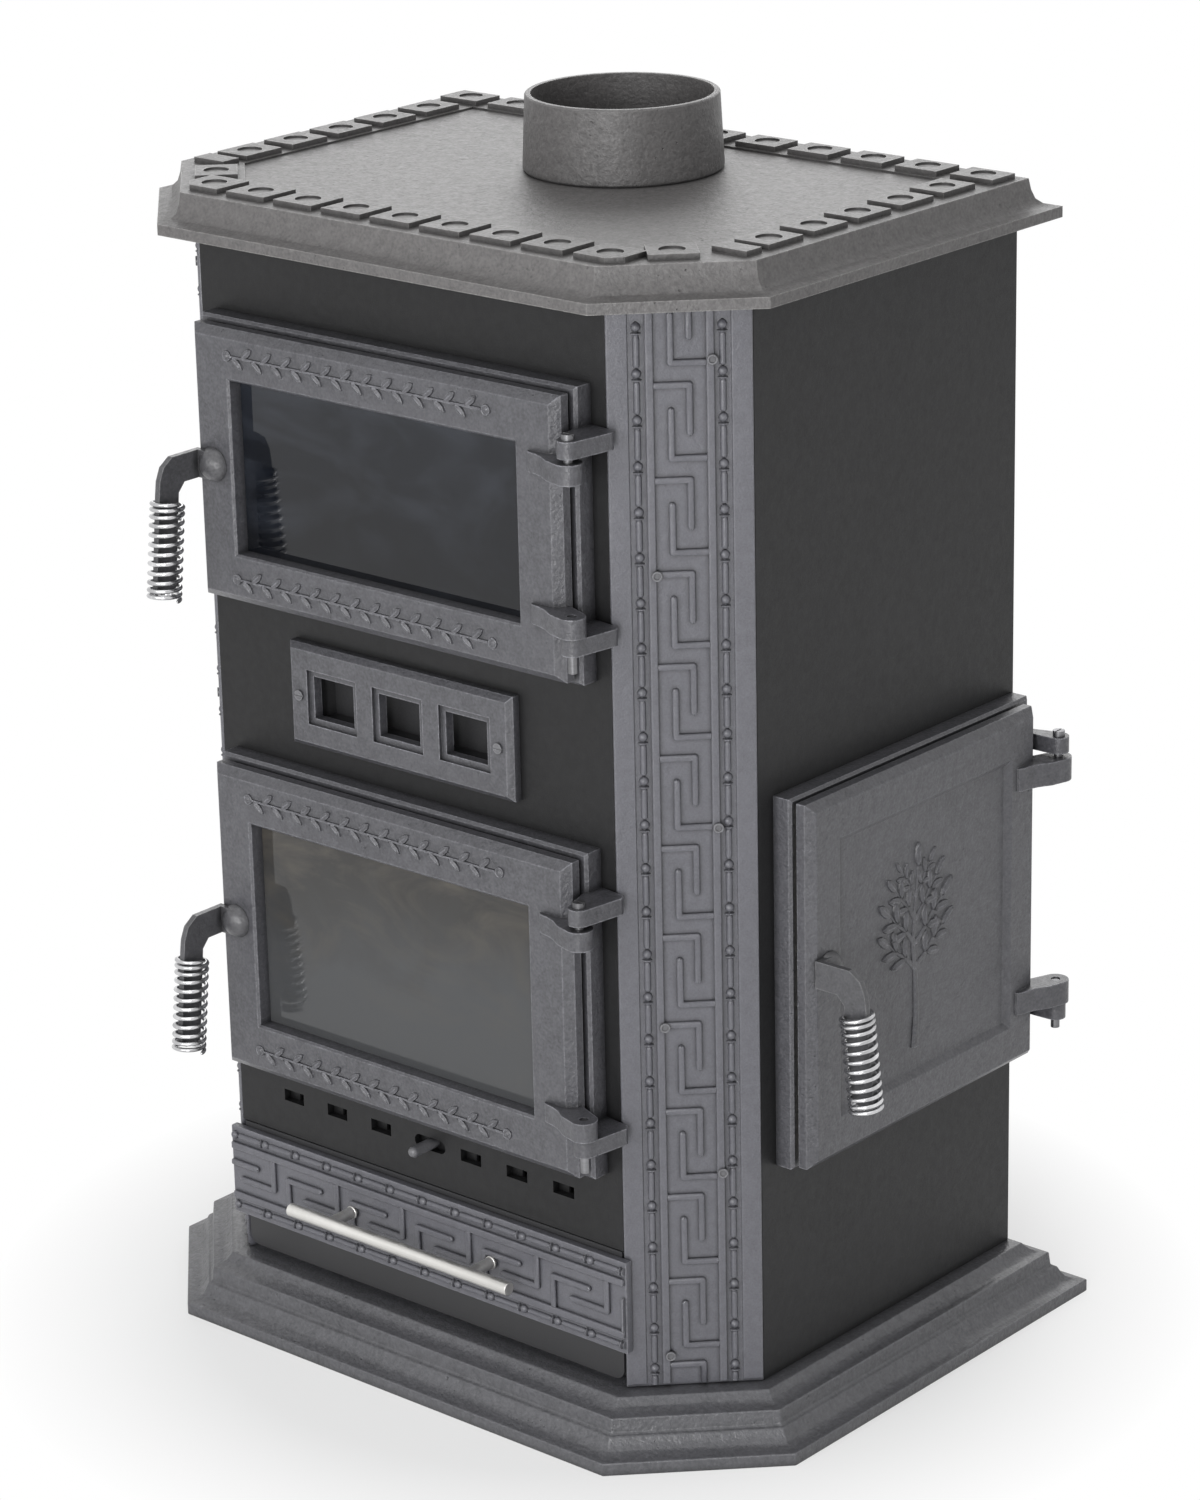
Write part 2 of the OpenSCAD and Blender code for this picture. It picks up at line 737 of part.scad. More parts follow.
module flue_collar() {
    color(iron) translate([flue_x, flue_y, field_z]) difference() {
        rotate_extrude($fn = 96) polygon([
            [flue_r - ledge_w, 0], [collar_foot_r - 1, 0], [collar_foot_r, 2],
            [collar_rim_r, collar_h - 1], [collar_rim_r - 1, collar_h], [flue_r, collar_h],
            [flue_r, ledge_h], [flue_r - ledge_w, ledge_h]
        ]);
        translate([-flue_x, -flue_y, -field_z]) {
            collar_bolt_row(screw_r + fit, hob_z - 20, 60);
            collar_bolt_row(5.8, field_z + ledge_h - 5, 20);
        }
    }
}

module collar_bolt_row(r, z, h) {
    for (a = [30, 150, 270])
        translate([flue_x, flue_y, z]) rotate(a) translate([flue_r - ledge_w + 7, 0, 0])
            cylinder(r = r, h = h);
}

module collar_bolts() {
    color(bright_steel) {
        collar_bolt_row(screw_r, wall_top - 6, field_z + ledge_h - wall_top + 3);
        collar_bolt_row(5.3, field_z + ledge_h - 5, 4.5, $fn = 6);
        collar_bolt_row(5.5, wall_top - 5, 5, $fn = 6);
    }
}

// ---------- vent and air ----------

function vent_rect() = [vent_x - vent_w / 2, vent_x + vent_w / 2, vent_z - vent_h / 2, vent_z + vent_h / 2];
function vent_windows() = [
    vent_x - window_pitch - window_w / 2 - 4, vent_x + window_pitch + window_w / 2 + 4,
    vent_z - window_h / 2 - 4, vent_z + window_h / 2 + 4
];
function vent_screw_places() = [vent_x - vent_w / 2 + 11, vent_x + vent_w / 2 - 11];
function window(k, d) =
    let (x = vent_x + k * window_pitch)
    grow([x - window_w / 2, x + window_w / 2, vent_z - window_h / 2, vent_z + window_h / 2], d);

module vent_grille() {
    color(dark_iron) on_front() difference() {
        bevelled(vent_rect(), 0, vent_t, vent_bevel);
        for (k = [-1:1]) {
            block(window(k, 0), -1, vent_t + 2);
            block(window(k, 4.5), vent_t - 2.5, 5);
        }
        for (x = vent_screw_places()) rod(x, vent_z, -1, screw_r + fit, vent_t + 2);
    }
}

// Pan behind the windows, hung from the panel's back by its flange.
module vent_backplate() {
    r = grow(vent_windows(), 2);
    color("#50545e") on_front() difference() {
        union() {
            block(grow(r, 12), -panel_t - 2, 2);
            block(r, -panel_t - 14, 14);
        }
        block(grow(r, -2), -panel_t - 12, 14);
        for (x = vent_screw_places()) rod(x, vent_z, -panel_t - 3, screw_r + fit, 4);
    }
}

module vent_screws() {
    color(bright_steel) on_front() for (x = vent_screw_places()) {
        rod(x, vent_z, -panel_t - 8, screw_r, panel_t + 8 + vent_t + 1);
        difference() {
            rod(x, vent_z, vent_t, 3.8, 1.4);
            translate([x, vent_z, vent_t + 1.4]) cube([10, 1.2, 1.2], center = true);
        }
    }
}

slide_off = -panel_t - run - 2;
slide_rect = [-168, 168, slot_z - slot_h / 2 - 4, slot_z + slot_h / 2 + 4];

module air_slots() {
    for (s = [-1, 1]) for (k = [1:3])
        translate([s * k * slot_pitch, slot_z]) square([slot_w, slot_h], center = true);
}

// The slide's own slots stand half way off the panel's; it opens or shuts them by half its travel.
module air_slide() {
    color(sheet_black) on_front() difference() {
        block(slide_rect, slide_off, 2);
        translate([air_travel / 2, 0, slide_off - 1]) linear_extrude(4) air_slots();
        rod(stud_x, slot_z, slide_off - 1, 2.6, 4);
    }
}

module air_slide_stud() {
    color(bright_steel) on_front() {
        rod(stud_x, slot_z, slide_off - 1.5, 2.5, 6);
        rod(stud_x, slot_z, slide_off + 2, stud_r, stud_out - slide_off - 2 - stud_r);
        translate([stud_x, slot_z, stud_out - stud_r]) sphere(stud_r);
    }
}

module air_slide_guides() {
    color(sheet_black) on_front() for (x = [-152, 152]) difference() {
        block([x - 6, x + 6, slide_rect[2] - 4, slide_rect[3] + 4], slide_off - 2, -panel_t - slide_off + 2);
        block(grow(slide_rect, run), slide_off - run, 10);
    }
}

// ---------- door frames and hinges ----------

function lower_lug(door) = door[0][2] + lower_lug_rise;
function upper_lug(door) = door[0][3] - upper_lug_drop - lug_h;
function lower_knuckle(door) = lower_lug(door) + lug_h + knuckle_gap;
function upper_knuckle(door) = upper_lug(door) - door[5] - upper_gap;
function spindle_x(door) = door[0][0] + spindle_in;

module lug_plan(door) {
    pin = [door[3], pin_off];
    foot = door[6];
    root = [door[1][1] - 3, frame_t - 1];
    polygon(concat(
        [[root[0], 0], root, tangent(pin, lug_r, root, -1)],
        common_tangent([pin[0], pin[1], lug_r], foot, 1),
        [[foot[0], foot[1]], [foot[0], foot[1] - foot[2]], [door[1][1], 0]]
    ));
    translate(pin) circle(lug_r);
    translate([foot[0], foot[1]]) circle(foot[2]);
}

// Cylinder along the height on a door's hinge axis.
module on_pin(door, y, h, r) {
    translate([door[3], y + h, pin_off]) rotate([90, 0, 0]) cylinder(r = r, h = h);
}

module door_frame(door) {
    hole = frame_hole(door);
    color(iron) difference() {
        union() {
            bevelled(door[1], 0, frame_t, frame_bevel);
            upright(lower_lug(door), lug_h) lug_plan(door);
            upright(upper_lug(door), lug_h) lug_plan(door);
        }
        block(hole, -1, frame_t + 2);
        block([spindle_x(door) - tongue_len - 3.5, hole[0] + 1, door[4] - 14, door[4] + 14], -1, frame_t + 2);
        bolt_row(door, screw_r + fit, -1, 10);
        on_pin(door, lower_lug(door) - 1, lug_h + 2, pin_r + pin_play);
        on_pin(door, upper_lug(door) - 1, lug_h + 2, pin_r + pin_play);
    }
}

module upper_door_frame() {
    on_front() door_frame(upper_door);
}

module lower_door_frame() {
    on_front() door_frame(lower_door);
}

module side_door_frame() {
    on_side() door_frame(side_door);
}

module frame_bolt_set(door) {
    bolt_row(door, screw_r, -panel_t - 2, panel_t + 10);
    bolt_row(door, bolt_head_r, -panel_t - 4, 4, $fn = 6);
}

module frame_bolts() {
    color(bright_steel) {
        on_front() frame_bolt_set(upper_door);
        on_front() frame_bolt_set(lower_door);
        on_side() frame_bolt_set(side_door);
    }
}

// Two pins: the upper one with a slotted head on its lug, the lower one sunk in its knuckle.
module hinge_pins(door) {
    low = lower_lug(door) - door[7];
    high_foot = upper_knuckle(door) - 2;
    head = upper_lug(door) + lug_h;
    color(bright_steel) {
        on_pin(door, low, lower_knuckle(door) + door[5] - 1 - low, pin_r);
        on_pin(door, high_foot, head - high_foot, pin_r);
        difference() {
            on_pin(door, head, 4, pin_r + 1.1);
            translate([door[3], head + 4, pin_off]) cube([12, 2.4, 1], center = true);
        }
    }
}

module upper_hinge_pins() {
    on_front() hinge_pins(upper_door);
}

module lower_hinge_pins() {
    on_front() hinge_pins(lower_door);
}

module side_hinge_pins() {
    on_side() hinge_pins(side_door);
}

// ---------- door leaves ----------

// Strap from the leaf's face, rising to the knuckle round the pin.
module strap_plan(door) {
    pin = [door[3], pin_off];
    rise = [door[3] - 15, (leaf_face + 2 * (pin_off + knuckle_r)) / 3 + 1.5];
    edge = [door[0][1] - 1, leaf_back + 3];
    polygon([
        [door[3] - 41, leaf_face - 2], [door[3] - 40.4, leaf_face + 1.6], [door[3] - 37.6, leaf_face + 3.3],
        [door[3] - 31, leaf_face + 4.5], [door[3] - 24, leaf_face + 7], rise,
        tangent(pin, knuckle_r, rise, -1), tangent(pin, knuckle_r, edge, 1), edge
    ]);
    translate(pin) circle(knuckle_r);
}

module leaf_body(door) {
    bevelled(door[0], leaf_back, leaf_t, leaf_bevel);
    upright(lower_knuckle(door), door[5]) strap_plan(door);
    upright(upper_knuckle(door), door[5]) strap_plan(door);
}

module leaf_cuts(door) {
    rope_out = grow(door[0], -4 + fit);
    difference() {
        block(rope_out, leaf_back - 1, rope_groove + 1 + fit);
        block(grow(rope_out, -rope_w - 2 * fit), leaf_back - 2, rope_groove + 4);
    }
    rod(spindle_x(door), door[4], leaf_back - 1, spindle_r + pin_play, leaf_t + 2);
    on_pin(door, lower_knuckle(door) - 1, door[5] + 2, pin_r + pin_play);
    on_pin(door, upper_knuckle(door) - 1, door[5] + 2, pin_r + pin_play);
}

module glazed_leaf(door) {
    glass = door[2];
    color(iron) difference() {
        union() {
            leaf_body(door);
            block(grow(glass, glass_lap + 5.5), rim_back, leaf_back - rim_back + 1);
        }
        block(glass, leaf_back, leaf_t + 1);
        stack([[rect(grow(glass, 0)), leaf_face - 1.6], [rect(grow(glass, 1.8)), leaf_face + 0.2]]);
        block(grow(glass, glass_lap + run), rim_back - 1, glass_t + 1);
        leaf_cuts(door);
    }
}

module upper_door_leaf() {
    on_front() glazed_leaf(upper_door);
}

module lower_door_leaf() {
    on_front() glazed_leaf(lower_door);
}

module side_door_leaf() {
    sunk = grow(side_door[0], -sunk_margin);
    color(iron) on_side() difference() {
        leaf_body(side_door);
        stack([[rect(grow(sunk, -5)), leaf_face - sunk_depth], [rect(grow(sunk, 0.05)), leaf_face + 0.04]]);
        leaf_cuts(side_door);
    }
}

// Inner plate that keeps the fire off the fuel door, on four spacers.
module side_door_liner() {
    leaf = side_door[0];
    r = [leaf[0] + 34, leaf[1] - 19, leaf[2] + 19, leaf[3] - 19];
    color(dark_iron) on_side() {
        block(r, leaf_back - 13, 3);
        for (x = [r[0] + 25, r[1] - 25], y = [r[2] + 25, r[3] - 25]) rod(x, y, leaf_back - 11, 6, 11);
    }
}

module glass_pane(door) {
    r = grow(door[2], glass_lap);
    color(glass_tint) block(r, rim_back, glass_t);
}

module glass_clips(door) {
    glass = door[2];
    third = (glass[1] - glass[0]) / 4;
    color(bright_steel) for (x = [glass[0] + third, glass[1] - third], s = [-1, 1]) {
        y = s < 0 ? glass[2] - 7 : glass[3] + 7;
        block([x - 9, x + 9, y - 4.5, y + 4.5], rim_back - 2, 2);
        rod(x, y + s * 1.8, rim_back - 3.6, 2.6, 2);
    }
}

module rope_seal(door) {
    outer = grow(door[0], -4);
    color(rope_grey) difference() {
        block(outer, frame_t + fit, seal_gap + rope_groove - fit);
        block(grow(outer, -rope_w), frame_t - 1, seal_gap + rope_groove + 4);
    }
}

module upper_glass() {
    on_front() glass_pane(upper_door);
}

module upper_glass_clips() {
    on_front() glass_clips(upper_door);
}

module upper_rope_seal() {
    on_front() rope_seal(upper_door);
}

module lower_glass() {
    on_front() glass_pane(lower_door);
}

module lower_glass_clips() {
    on_front() glass_clips(lower_door);
}

module lower_rope_seal() {
    on_front() rope_seal(lower_door);
}

module side_rope_seal() {
    on_side() rope_seal(side_door);
}

// ---------- handles ----------

// Direction of a spring's axis, down the door and slightly outwards, in (height, distance out).
spring_dir = let (v = [-spring_h, spring_foot_off - spring_top_off]) v / norm(v);
spring_out = [spring_dir[1], -spring_dir[0]];
spring_len = norm([spring_h, spring_foot_off - spring_top_off]);
core_w = 2 * (spring_r - 2 * wire_r) * 0.875;     // widest arm that passes through the spring

// Side view of the arm, with the spindle at the origin of the height.
module arm_side_view() {
    top = [6 - spring_drop, spring_top_off];
    foot = [-spring_drop, spring_top_off] + spring_dir * (spring_len - 8);
    a = spring_out * core_w / 2;
    hub_face = leaf_face + run;
    polygon([
        [-arm_w / 2, hub_face], [-arm_w / 2, top[1] - core_w / 2 - 6], top - a, foot - a,
        foot + spring_dir * 4 - a * 0.55, foot + spring_dir * 4 + a * 0.55, foot + a, top + a,
        [-5, top[1] + 8], [4, top[1] + 4], [arm_w / 2, top[1] - 5], [arm_w / 2, hub_face]
    ]);
}

module handle(door) {
    x = spindle_x(door);
    dome_r = (hub_r * hub_r + hub_h * hub_h) / (2 * hub_h);
    tab = [x - arm_side, x, door[4] - arm_w / 2, door[4] + arm_w / 2];
    color(bright_steel) difference() {
        union() {
            intersection() {
                rod(x, door[4], leaf_face + run, hub_r + 1, hub_h + 1);
                translate([x, door[4], leaf_face + run + hub_h - dome_r]) sphere(dome_r, $fn = 64);
            }
            block(tab, leaf_face + run, arm_t);
            translate([0, door[4], 0]) sideways(x - arm_side - arm_t / 2, arm_t) arm_side_view();
        }
        rod(x, door[4], leaf_face - 1, spindle_r + pin_play, 7);
    }
}

// Centre of the spring's wire at step i of the helix; 8 steps make a curl, closer at both ends.
function spring_centre(x, y, i) =
    let (steps = 8 * spring_turns, a = 45 * i, r = spring_r - wire_r)
    let (u = 360 * i / steps, s = spring_len * (i / steps - 0.043 * sin(u) - 0.009 * sin(2 * u)))
    let (p = [y - spring_drop, spring_top_off] + spring_dir * s + spring_out * r * sin(a))
    [x - arm_side + r * cos(a), p[0], p[1]];

function spring_ring(x, y, i) =
    let (c = spring_centre(x, y, i), a = 45 * i)
    let (radial = [cos(a), spring_out[0] * sin(a), spring_out[1] * sin(a)])
    let (along = [0, spring_dir[0], spring_dir[1]])
    [for (j = [0:5]) c + wire_r * (cos(60 * j) * radial + sin(60 * j) * along)];

module handle_spring(door) {
    x = spindle_x(door);
    steps = 8 * spring_turns;
    points = [for (i = [0:steps]) each spring_ring(x, door[4], i)];
    sides = [for (i = [0:steps - 1]) for (j = [0:5]) let (k = (j + 1) % 6, p = 6 * i)
        each [[p + j, p + 6 + j, p + 6 + k], [p + j, p + 6 + k, p + k]]];
    last = 6 * steps;
    ends = [for (j = [1:4]) each [[0, j, j + 1], [last, last + j + 1, last + j]]];
    color(bright_steel) polyhedron(points, concat(sides, ends));
    centres = [for (i = [0:steps]) spring_centre(x, door[4], i)];
    gaps = [for (i = [0:steps - 6]) for (j = [i + 6:min(steps, i + 10)]) norm(centres[i] - centres[j])];
    echo(least_gap_between_curls = min(gaps) - 2 * wire_r);
}

// Spindle with the collar and the tongue behind the leaf.
module latch(door) {
    x = spindle_x(door);
    color(bright_steel) {
        rod(x, door[4], 3, spindle_r, leaf_face + 2.5);
        rod(x, door[4], leaf_back - 6, 6, 5.7);
        translate([0, 0, 3]) linear_extrude(5) {
            translate([x - tongue_len, door[4] - 5]) square([tongue_len, 10]);
            translate([x, door[4]]) circle(5);
        }
    }
}

module upper_handle() {
    on_front() handle(upper_door);
}

module upper_handle_spring() {
    on_front() handle_spring(upper_door);
}

module upper_latch() {
    on_front() latch(upper_door);
}

module lower_handle() {
    on_front() handle(lower_door);
}

module lower_handle_spring() {
    on_front() handle_spring(lower_door);
}

module lower_latch() {
    on_front() latch(lower_door);
}

module side_handle() {
    on_side() handle(side_door);
}

module side_handle_spring() {
    on_side() handle_spring(side_door);
}

module side_latch() {
    on_side() latch(side_door);
}

// ---------- firebox and oven ----------

in_w = half_w - panel_t;
in_d = half_d - panel_t;
brick_z = grate_z + panel_t;

// Rectangle of the grate's opening in its frame.
grate_hole = [-95, 95, -80, 90];

module grate_frame() {
    color(dark_iron) difference() {
        block([-in_w, in_w, 12 - in_d, in_d], grate_z, panel_t);
        block(grate_hole, grate_z - 1, panel_t + 2);
        for (s = [0, 1]) mirror([s, 0, 0]) corner_clear(12 - in_d + 70);
    }
}

// Cuts a plate back to clear a pilaster and the bar behind it.
module corner_clear(reach) {
    c = outline(0, 0, 0, -panel_t - 10);
    translate([0, 0, 1]) linear_extrude(hob_z)
        polygon([[c[3][0] - 20, c[3][1] - 20], c[4] + [20, 20], [half_w + 9, reach], [half_w + 9, -half_d - 9]]);
}

module fire_grate() {
    r = grow(grate_hole, 8);
    bars = 13;
    step = (r[1] - r[0] - 20) / bars;
    color(dark_iron) difference() {
        block(r, brick_z, 10);
        for (k = [0:bars - 1]) for (y = [[r[2] + 10, -2], [8, r[3] - 10]])
            block([r[0] + 10 + (k + 0.5) * step - 4, r[0] + 10 + (k + 0.5) * step + 4, y[0], y[1]], brick_z - 1, 12);
    }
}

module fire_brick_left() {
    color(brick_buff) block([-in_w, -in_w + brick_t, -72, in_d - brick_t - fit], brick_z, brick_h);
}

module fire_brick_back() {
    color(brick_buff) block([-in_w, in_w, in_d - brick_t, in_d], brick_z, brick_h);
}

// Low brick under the fuel door's opening.
module fire_brick_right() {
    color(brick_buff) difference() {
        block([in_w - brick_t, in_w, -72, in_d - brick_t - fit], brick_z, side_z + frame_lap - brick_z - 2);
        on_side() bolt_row(side_door, bolt_head_r + 1, -panel_t - 5, 6);
    }
}

module flue_baffle() {
    color(dark_iron) difference() {
        block([-in_w, in_w, -in_d, in_d - 64], baffle_z, panel_t);
        for (s = [0, 1]) mirror([s, 0, 0]) corner_clear(-half_d + 80);
        block([-in_w, in_w, -in_d - 1, -in_d + 18], baffle_z - 1, panel_t + 2);
    }
}

oven_rect = [-oven_w / 2, oven_w / 2, -in_d, -in_d + oven_d];
shelf_z = oven_z + oven_h / 2 - 4;

module oven_box() {
    inner = grow(oven_rect, -oven_wall);
    color(dark_iron) {
        difference() {
            block(oven_rect, oven_z, oven_h);
            block([inner[0], inner[1], oven_rect[2] - 1, inner[3]], oven_z + oven_wall, oven_h - 2 * oven_wall);
        }
        for (s = [0, 1]) mirror([s, 0, 0])
            translate([inner[0], -in_d + 10, shelf_z - 8]) cube([8, oven_d - 30, 5]);
    }
}

module rod_y(x, y0, y1, z, r) {
    translate([x, y0, z]) rotate([-90, 0, 0]) cylinder(r = r, h = y1 - y0);
}

module rod_x(x0, x1, y, z, r) {
    translate([x0, y, z]) rotate([0, 90, 0]) cylinder(r = r, h = x1 - x0);
}

module oven_shelf() {
    half = oven_w / 2 - oven_wall - 4;
    y0 = -in_d + 14;
    y1 = -in_d + oven_d - 24;
    wires = 11;
    color(bright_steel) {
        for (x = [-half, half]) rod_y(x, y0, y1, shelf_z, 3, $fn = 24);
        for (y = [y0 + 2, y1 - 2]) rod_x(-half, half, y, shelf_z, 3, $fn = 24);
        for (k = [1:wires]) rod_y(-half + k * 2 * half / (wires + 1), y0, y1, shelf_z + 3.5, 2, $fn = 24);
    }
}

// ---------- ash drawer ----------

tray_y0 = -half_d + 2;
tray_z = deck_top + 6;
tray_wall = 2;

module drawer_runners() {
    color(sheet_black) for (s = [0, 1]) mirror([s, 0, 0]) {
        x = tray_w / 2;
        translate([x - 22, -in_d + 8, deck_top]) cube([22 + 8, tray_d - 20, tray_z - deck_top - run]);
        translate([x + run, -in_d + 8, deck_top]) cube([8 - run, tray_d - 20, 26]);
    }
}

module ash_tray() {
    r = [-tray_w / 2, tray_w / 2, tray_y0, tray_y0 + tray_d];
    color(sheet_black) difference() {
        block(r, tray_z, tray_h);
        block(grow(r, -tray_wall), tray_z + tray_wall, tray_h);
        on_front() post_row(3.2, -10, 12);
    }
}

module post_row(r, z, h) {
    for (s = [-1, 1]) rod(s * post_pitch / 2, strip_z + strip_h / 2, z, r, h);
}

module drawer_sheet() {
    foot = deck_top + 4.5;
    corner = 8;
    top = bay_top - 1;
    color(sheet_black) on_front() difference() {
        translate([0, 0, -2]) linear_extrude(2) {
            translate([-sheet_w / 2, foot + corner]) square([sheet_w, top - foot - corner]);
            translate([corner - sheet_w / 2, foot]) square([sheet_w - 2 * corner, corner + 1]);
            for (s = [-1, 1]) translate([s * (sheet_w / 2 - corner), foot + corner]) circle(corner);
        }
        post_row(3.2, -3, 4);
    }
}

// The pilaster's relief laid on its side.
module drawer_strip() {
    r = [-strip_w / 2, strip_w / 2, strip_z, strip_z + strip_h];
    face = strip_t - relief;
    half = strip_w / 2 - 1.5;
    color(iron) on_front() difference() {
        union() {
            bevelled(r, 0, face, 1.5);
            translate([0, strip_z + strip_h / 2 + field_w / 2, 0]) rotate(-90)
                key_relief(face, -half, half, strip_key_pitch, strip_first_key, strip_bead_pitch, strip_first_bead);
        }
        post_row(4.3, -1, strip_t + 2);
    }
}

strip_first_key = 175.5 * strip_w / 385 + strip_key_pitch;
strip_first_bead = 160.6 * strip_w / 385 + strip_bead_pitch;

module drawer_bar() {
    y = strip_z + strip_h / 2;
    color(bright_steel) on_front() rod_x(-bar_len / 2, bar_len / 2, y, bar_off, bar_r);
}

module drawer_posts() {
    y = strip_z + strip_h / 2;
    color(bright_steel) on_front() difference() {
        union() {
            post_row(4.25, 0, bar_off);
            post_row(3, -9, 12);
            post_row(5.6, -4 - 4, 4, $fn = 6);
        }
        rod_x(-bar_len / 2, bar_len / 2, y, bar_off, bar_r + 0.02);
    }
}

// ---------- assembly ----------

base_plinth();
front_panel();
left_panel();
right_panel();
back_panel();
left_pilaster();
right_pilaster();
corner_bars();
pilaster_screws();
top_plate();
flue_collar();
collar_bolts();
vent_grille();
vent_backplate();
vent_screws();
upper_door_frame();
lower_door_frame();
side_door_frame();
frame_bolts();
upper_hinge_pins();
lower_hinge_pins();
side_hinge_pins();
grate_frame();
fire_grate();
fire_brick_left();
fire_brick_back();
fire_brick_right();
flue_baffle();
oven_box();
oven_shelf();
drawer_runners();
air_slide_guides();
upper_door_leaf();
upper_glass();
upper_glass_clips();
upper_rope_seal();
upper_handle();
upper_handle_spring();
upper_latch();
lower_door_leaf();
lower_glass();
lower_glass_clips();
lower_rope_seal();
lower_handle();
lower_handle_spring();
lower_latch();
side_door_leaf();
side_door_liner();
side_rope_seal();
side_handle();
side_handle_spring();
side_latch();
air_slide();
air_slide_stud();
ash_tray();
drawer_sheet();
drawer_strip();
drawer_bar();
drawer_posts();
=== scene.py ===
import json
import math

import bpy
from mathutils import Matrix, Vector

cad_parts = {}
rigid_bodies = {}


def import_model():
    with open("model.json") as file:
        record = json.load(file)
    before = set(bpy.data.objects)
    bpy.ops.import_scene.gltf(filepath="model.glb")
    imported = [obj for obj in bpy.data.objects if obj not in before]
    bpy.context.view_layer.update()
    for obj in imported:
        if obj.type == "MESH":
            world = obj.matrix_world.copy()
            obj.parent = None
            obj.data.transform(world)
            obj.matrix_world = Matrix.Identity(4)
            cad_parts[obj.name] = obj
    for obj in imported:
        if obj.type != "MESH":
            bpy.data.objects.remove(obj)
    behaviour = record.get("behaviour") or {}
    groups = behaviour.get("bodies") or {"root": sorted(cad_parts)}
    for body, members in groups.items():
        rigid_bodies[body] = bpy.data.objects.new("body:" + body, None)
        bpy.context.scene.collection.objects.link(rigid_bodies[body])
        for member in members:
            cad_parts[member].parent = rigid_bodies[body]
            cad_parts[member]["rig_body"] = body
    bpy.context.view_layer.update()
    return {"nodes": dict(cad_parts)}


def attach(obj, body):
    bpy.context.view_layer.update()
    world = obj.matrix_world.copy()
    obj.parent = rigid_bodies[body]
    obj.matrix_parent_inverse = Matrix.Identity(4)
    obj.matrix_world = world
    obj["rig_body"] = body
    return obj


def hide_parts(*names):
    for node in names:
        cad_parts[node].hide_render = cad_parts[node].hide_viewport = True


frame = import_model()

MM = 0.001
scene = bpy.context.scene
scene.view_settings.view_transform = "Standard"

# ---------- camera ----------

CAMERA_AZIMUTH = math.radians(41.03)
CAMERA_HEIGHT = math.radians(19.32)
CAMERA_ROLL = math.radians(-1.27)
CAMERA_TARGET = Vector((16.99, 0.27, 430.77)) * MM
CAMERA_DISTANCE = 3.34399
SENSOR_HEIGHT = 36
FOCUS_PIXELS, PICTURE_PIXELS = 4618.46, 1500
CAMERA_FOCUS = FOCUS_PIXELS / PICTURE_PIXELS * SENSOR_HEIGHT


def outward(azimuth, height):
    """Unit vector from the stove towards a place at these angles; azimuth 0 is straight in front."""
    level = math.cos(height)
    return Vector((math.sin(azimuth) * level, -math.cos(azimuth) * level, math.sin(height)))


def make_camera():
    """Camera at the photograph's viewing angle."""
    away = outward(CAMERA_AZIMUTH, CAMERA_HEIGHT)
    right = (-away).cross(Vector((0, 0, 1))).normalized()
    up = right.cross(-away)
    turned_right = right * math.cos(CAMERA_ROLL) + up * math.sin(CAMERA_ROLL)
    turned_up = up * math.cos(CAMERA_ROLL) - right * math.sin(CAMERA_ROLL)
    camera = bpy.data.objects.new("camera", bpy.data.cameras.new("camera"))
    scene.collection.objects.link(camera)
    camera.data.sensor_fit = "VERTICAL"
    camera.data.sensor_height = SENSOR_HEIGHT
    camera.data.lens = CAMERA_FOCUS
    camera.data.clip_start = 0.05
    camera.data.clip_end = 50
    place = Matrix((turned_right, turned_up, away)).transposed().to_4x4()
    place.translation = CAMERA_TARGET + away * CAMERA_DISTANCE
    camera.matrix_world = place
    scene.camera = camera


# ---------- shader helpers ----------


def node(tree, kind, inputs=None, **settings):
    """Shader node with its settings, and with each input set to a value or linked to a socket."""
    made = tree.nodes.new("ShaderNode" + kind)
    for name, value in settings.items():
        setattr(made, name, value)
    for name, value in (inputs or {}).items():
        if isinstance(value, bpy.types.NodeSocket):
            tree.links.new(value, made.inputs[name])
        else:
            made.inputs[name].default_value = value
    return made


def math_node(tree, operation, first, second):
    """Output of a Math node."""
    return node(tree, "Math", {0: first, 1: second}, operation=operation).outputs[0]


def times(tree, first, second):
    return math_node(tree, "MULTIPLY", first, second)


def ramp(tree, value, low, high, start=0.0, end=1.0):
    """Value brought from the range low to high into the range start to end, and kept inside it."""
    inputs = {"Value": value, "From Min": low, "From Max": high, "To Min": start, "To Max": end}
    return node(tree, "MapRange", inputs).outputs[0]


def blend_colours(tree, factor, first, second):
    """Colour between two colours, each a socket or a linear RGB value."""
    mix = node(tree, "Mix", data_type="RGBA")
    for slot, value in ((0, factor), (6, first), (7, second)):
        if isinstance(value, bpy.types.NodeSocket):
            tree.links.new(value, mix.inputs[slot])
        else:
            mix.inputs[slot].default_value = value if slot == 0 else (*value, 1)
    return mix.outputs[2]


def object_place(tree):
    return node(tree, "TexCoord").outputs["Object"]


def stretched(tree, place, scale):
    """Place with each axis scaled by itself, by a value or a socket."""
    return node(tree, "VectorMath", {0: place, 1: scale}, operation="MULTIPLY").outputs[0]


def noise(tree, place, scale, detail=3.0, roughness=0.5, distortion=0.0):
    """Noise value at a place, with a scale in features a metre."""
    inputs = {"Vector": place, "Scale": scale, "Detail": detail, "Roughness": roughness,
              "Distortion": distortion}
    return node(tree, "TexNoise", inputs).outputs["Fac"]


def bump(tree, height, strength, distance):
    """Normal from a height; the distance is in metres."""
    inputs = {"Strength": strength, "Distance": distance, "Height": height}
    return node(tree, "Bump", inputs).outputs["Normal"]


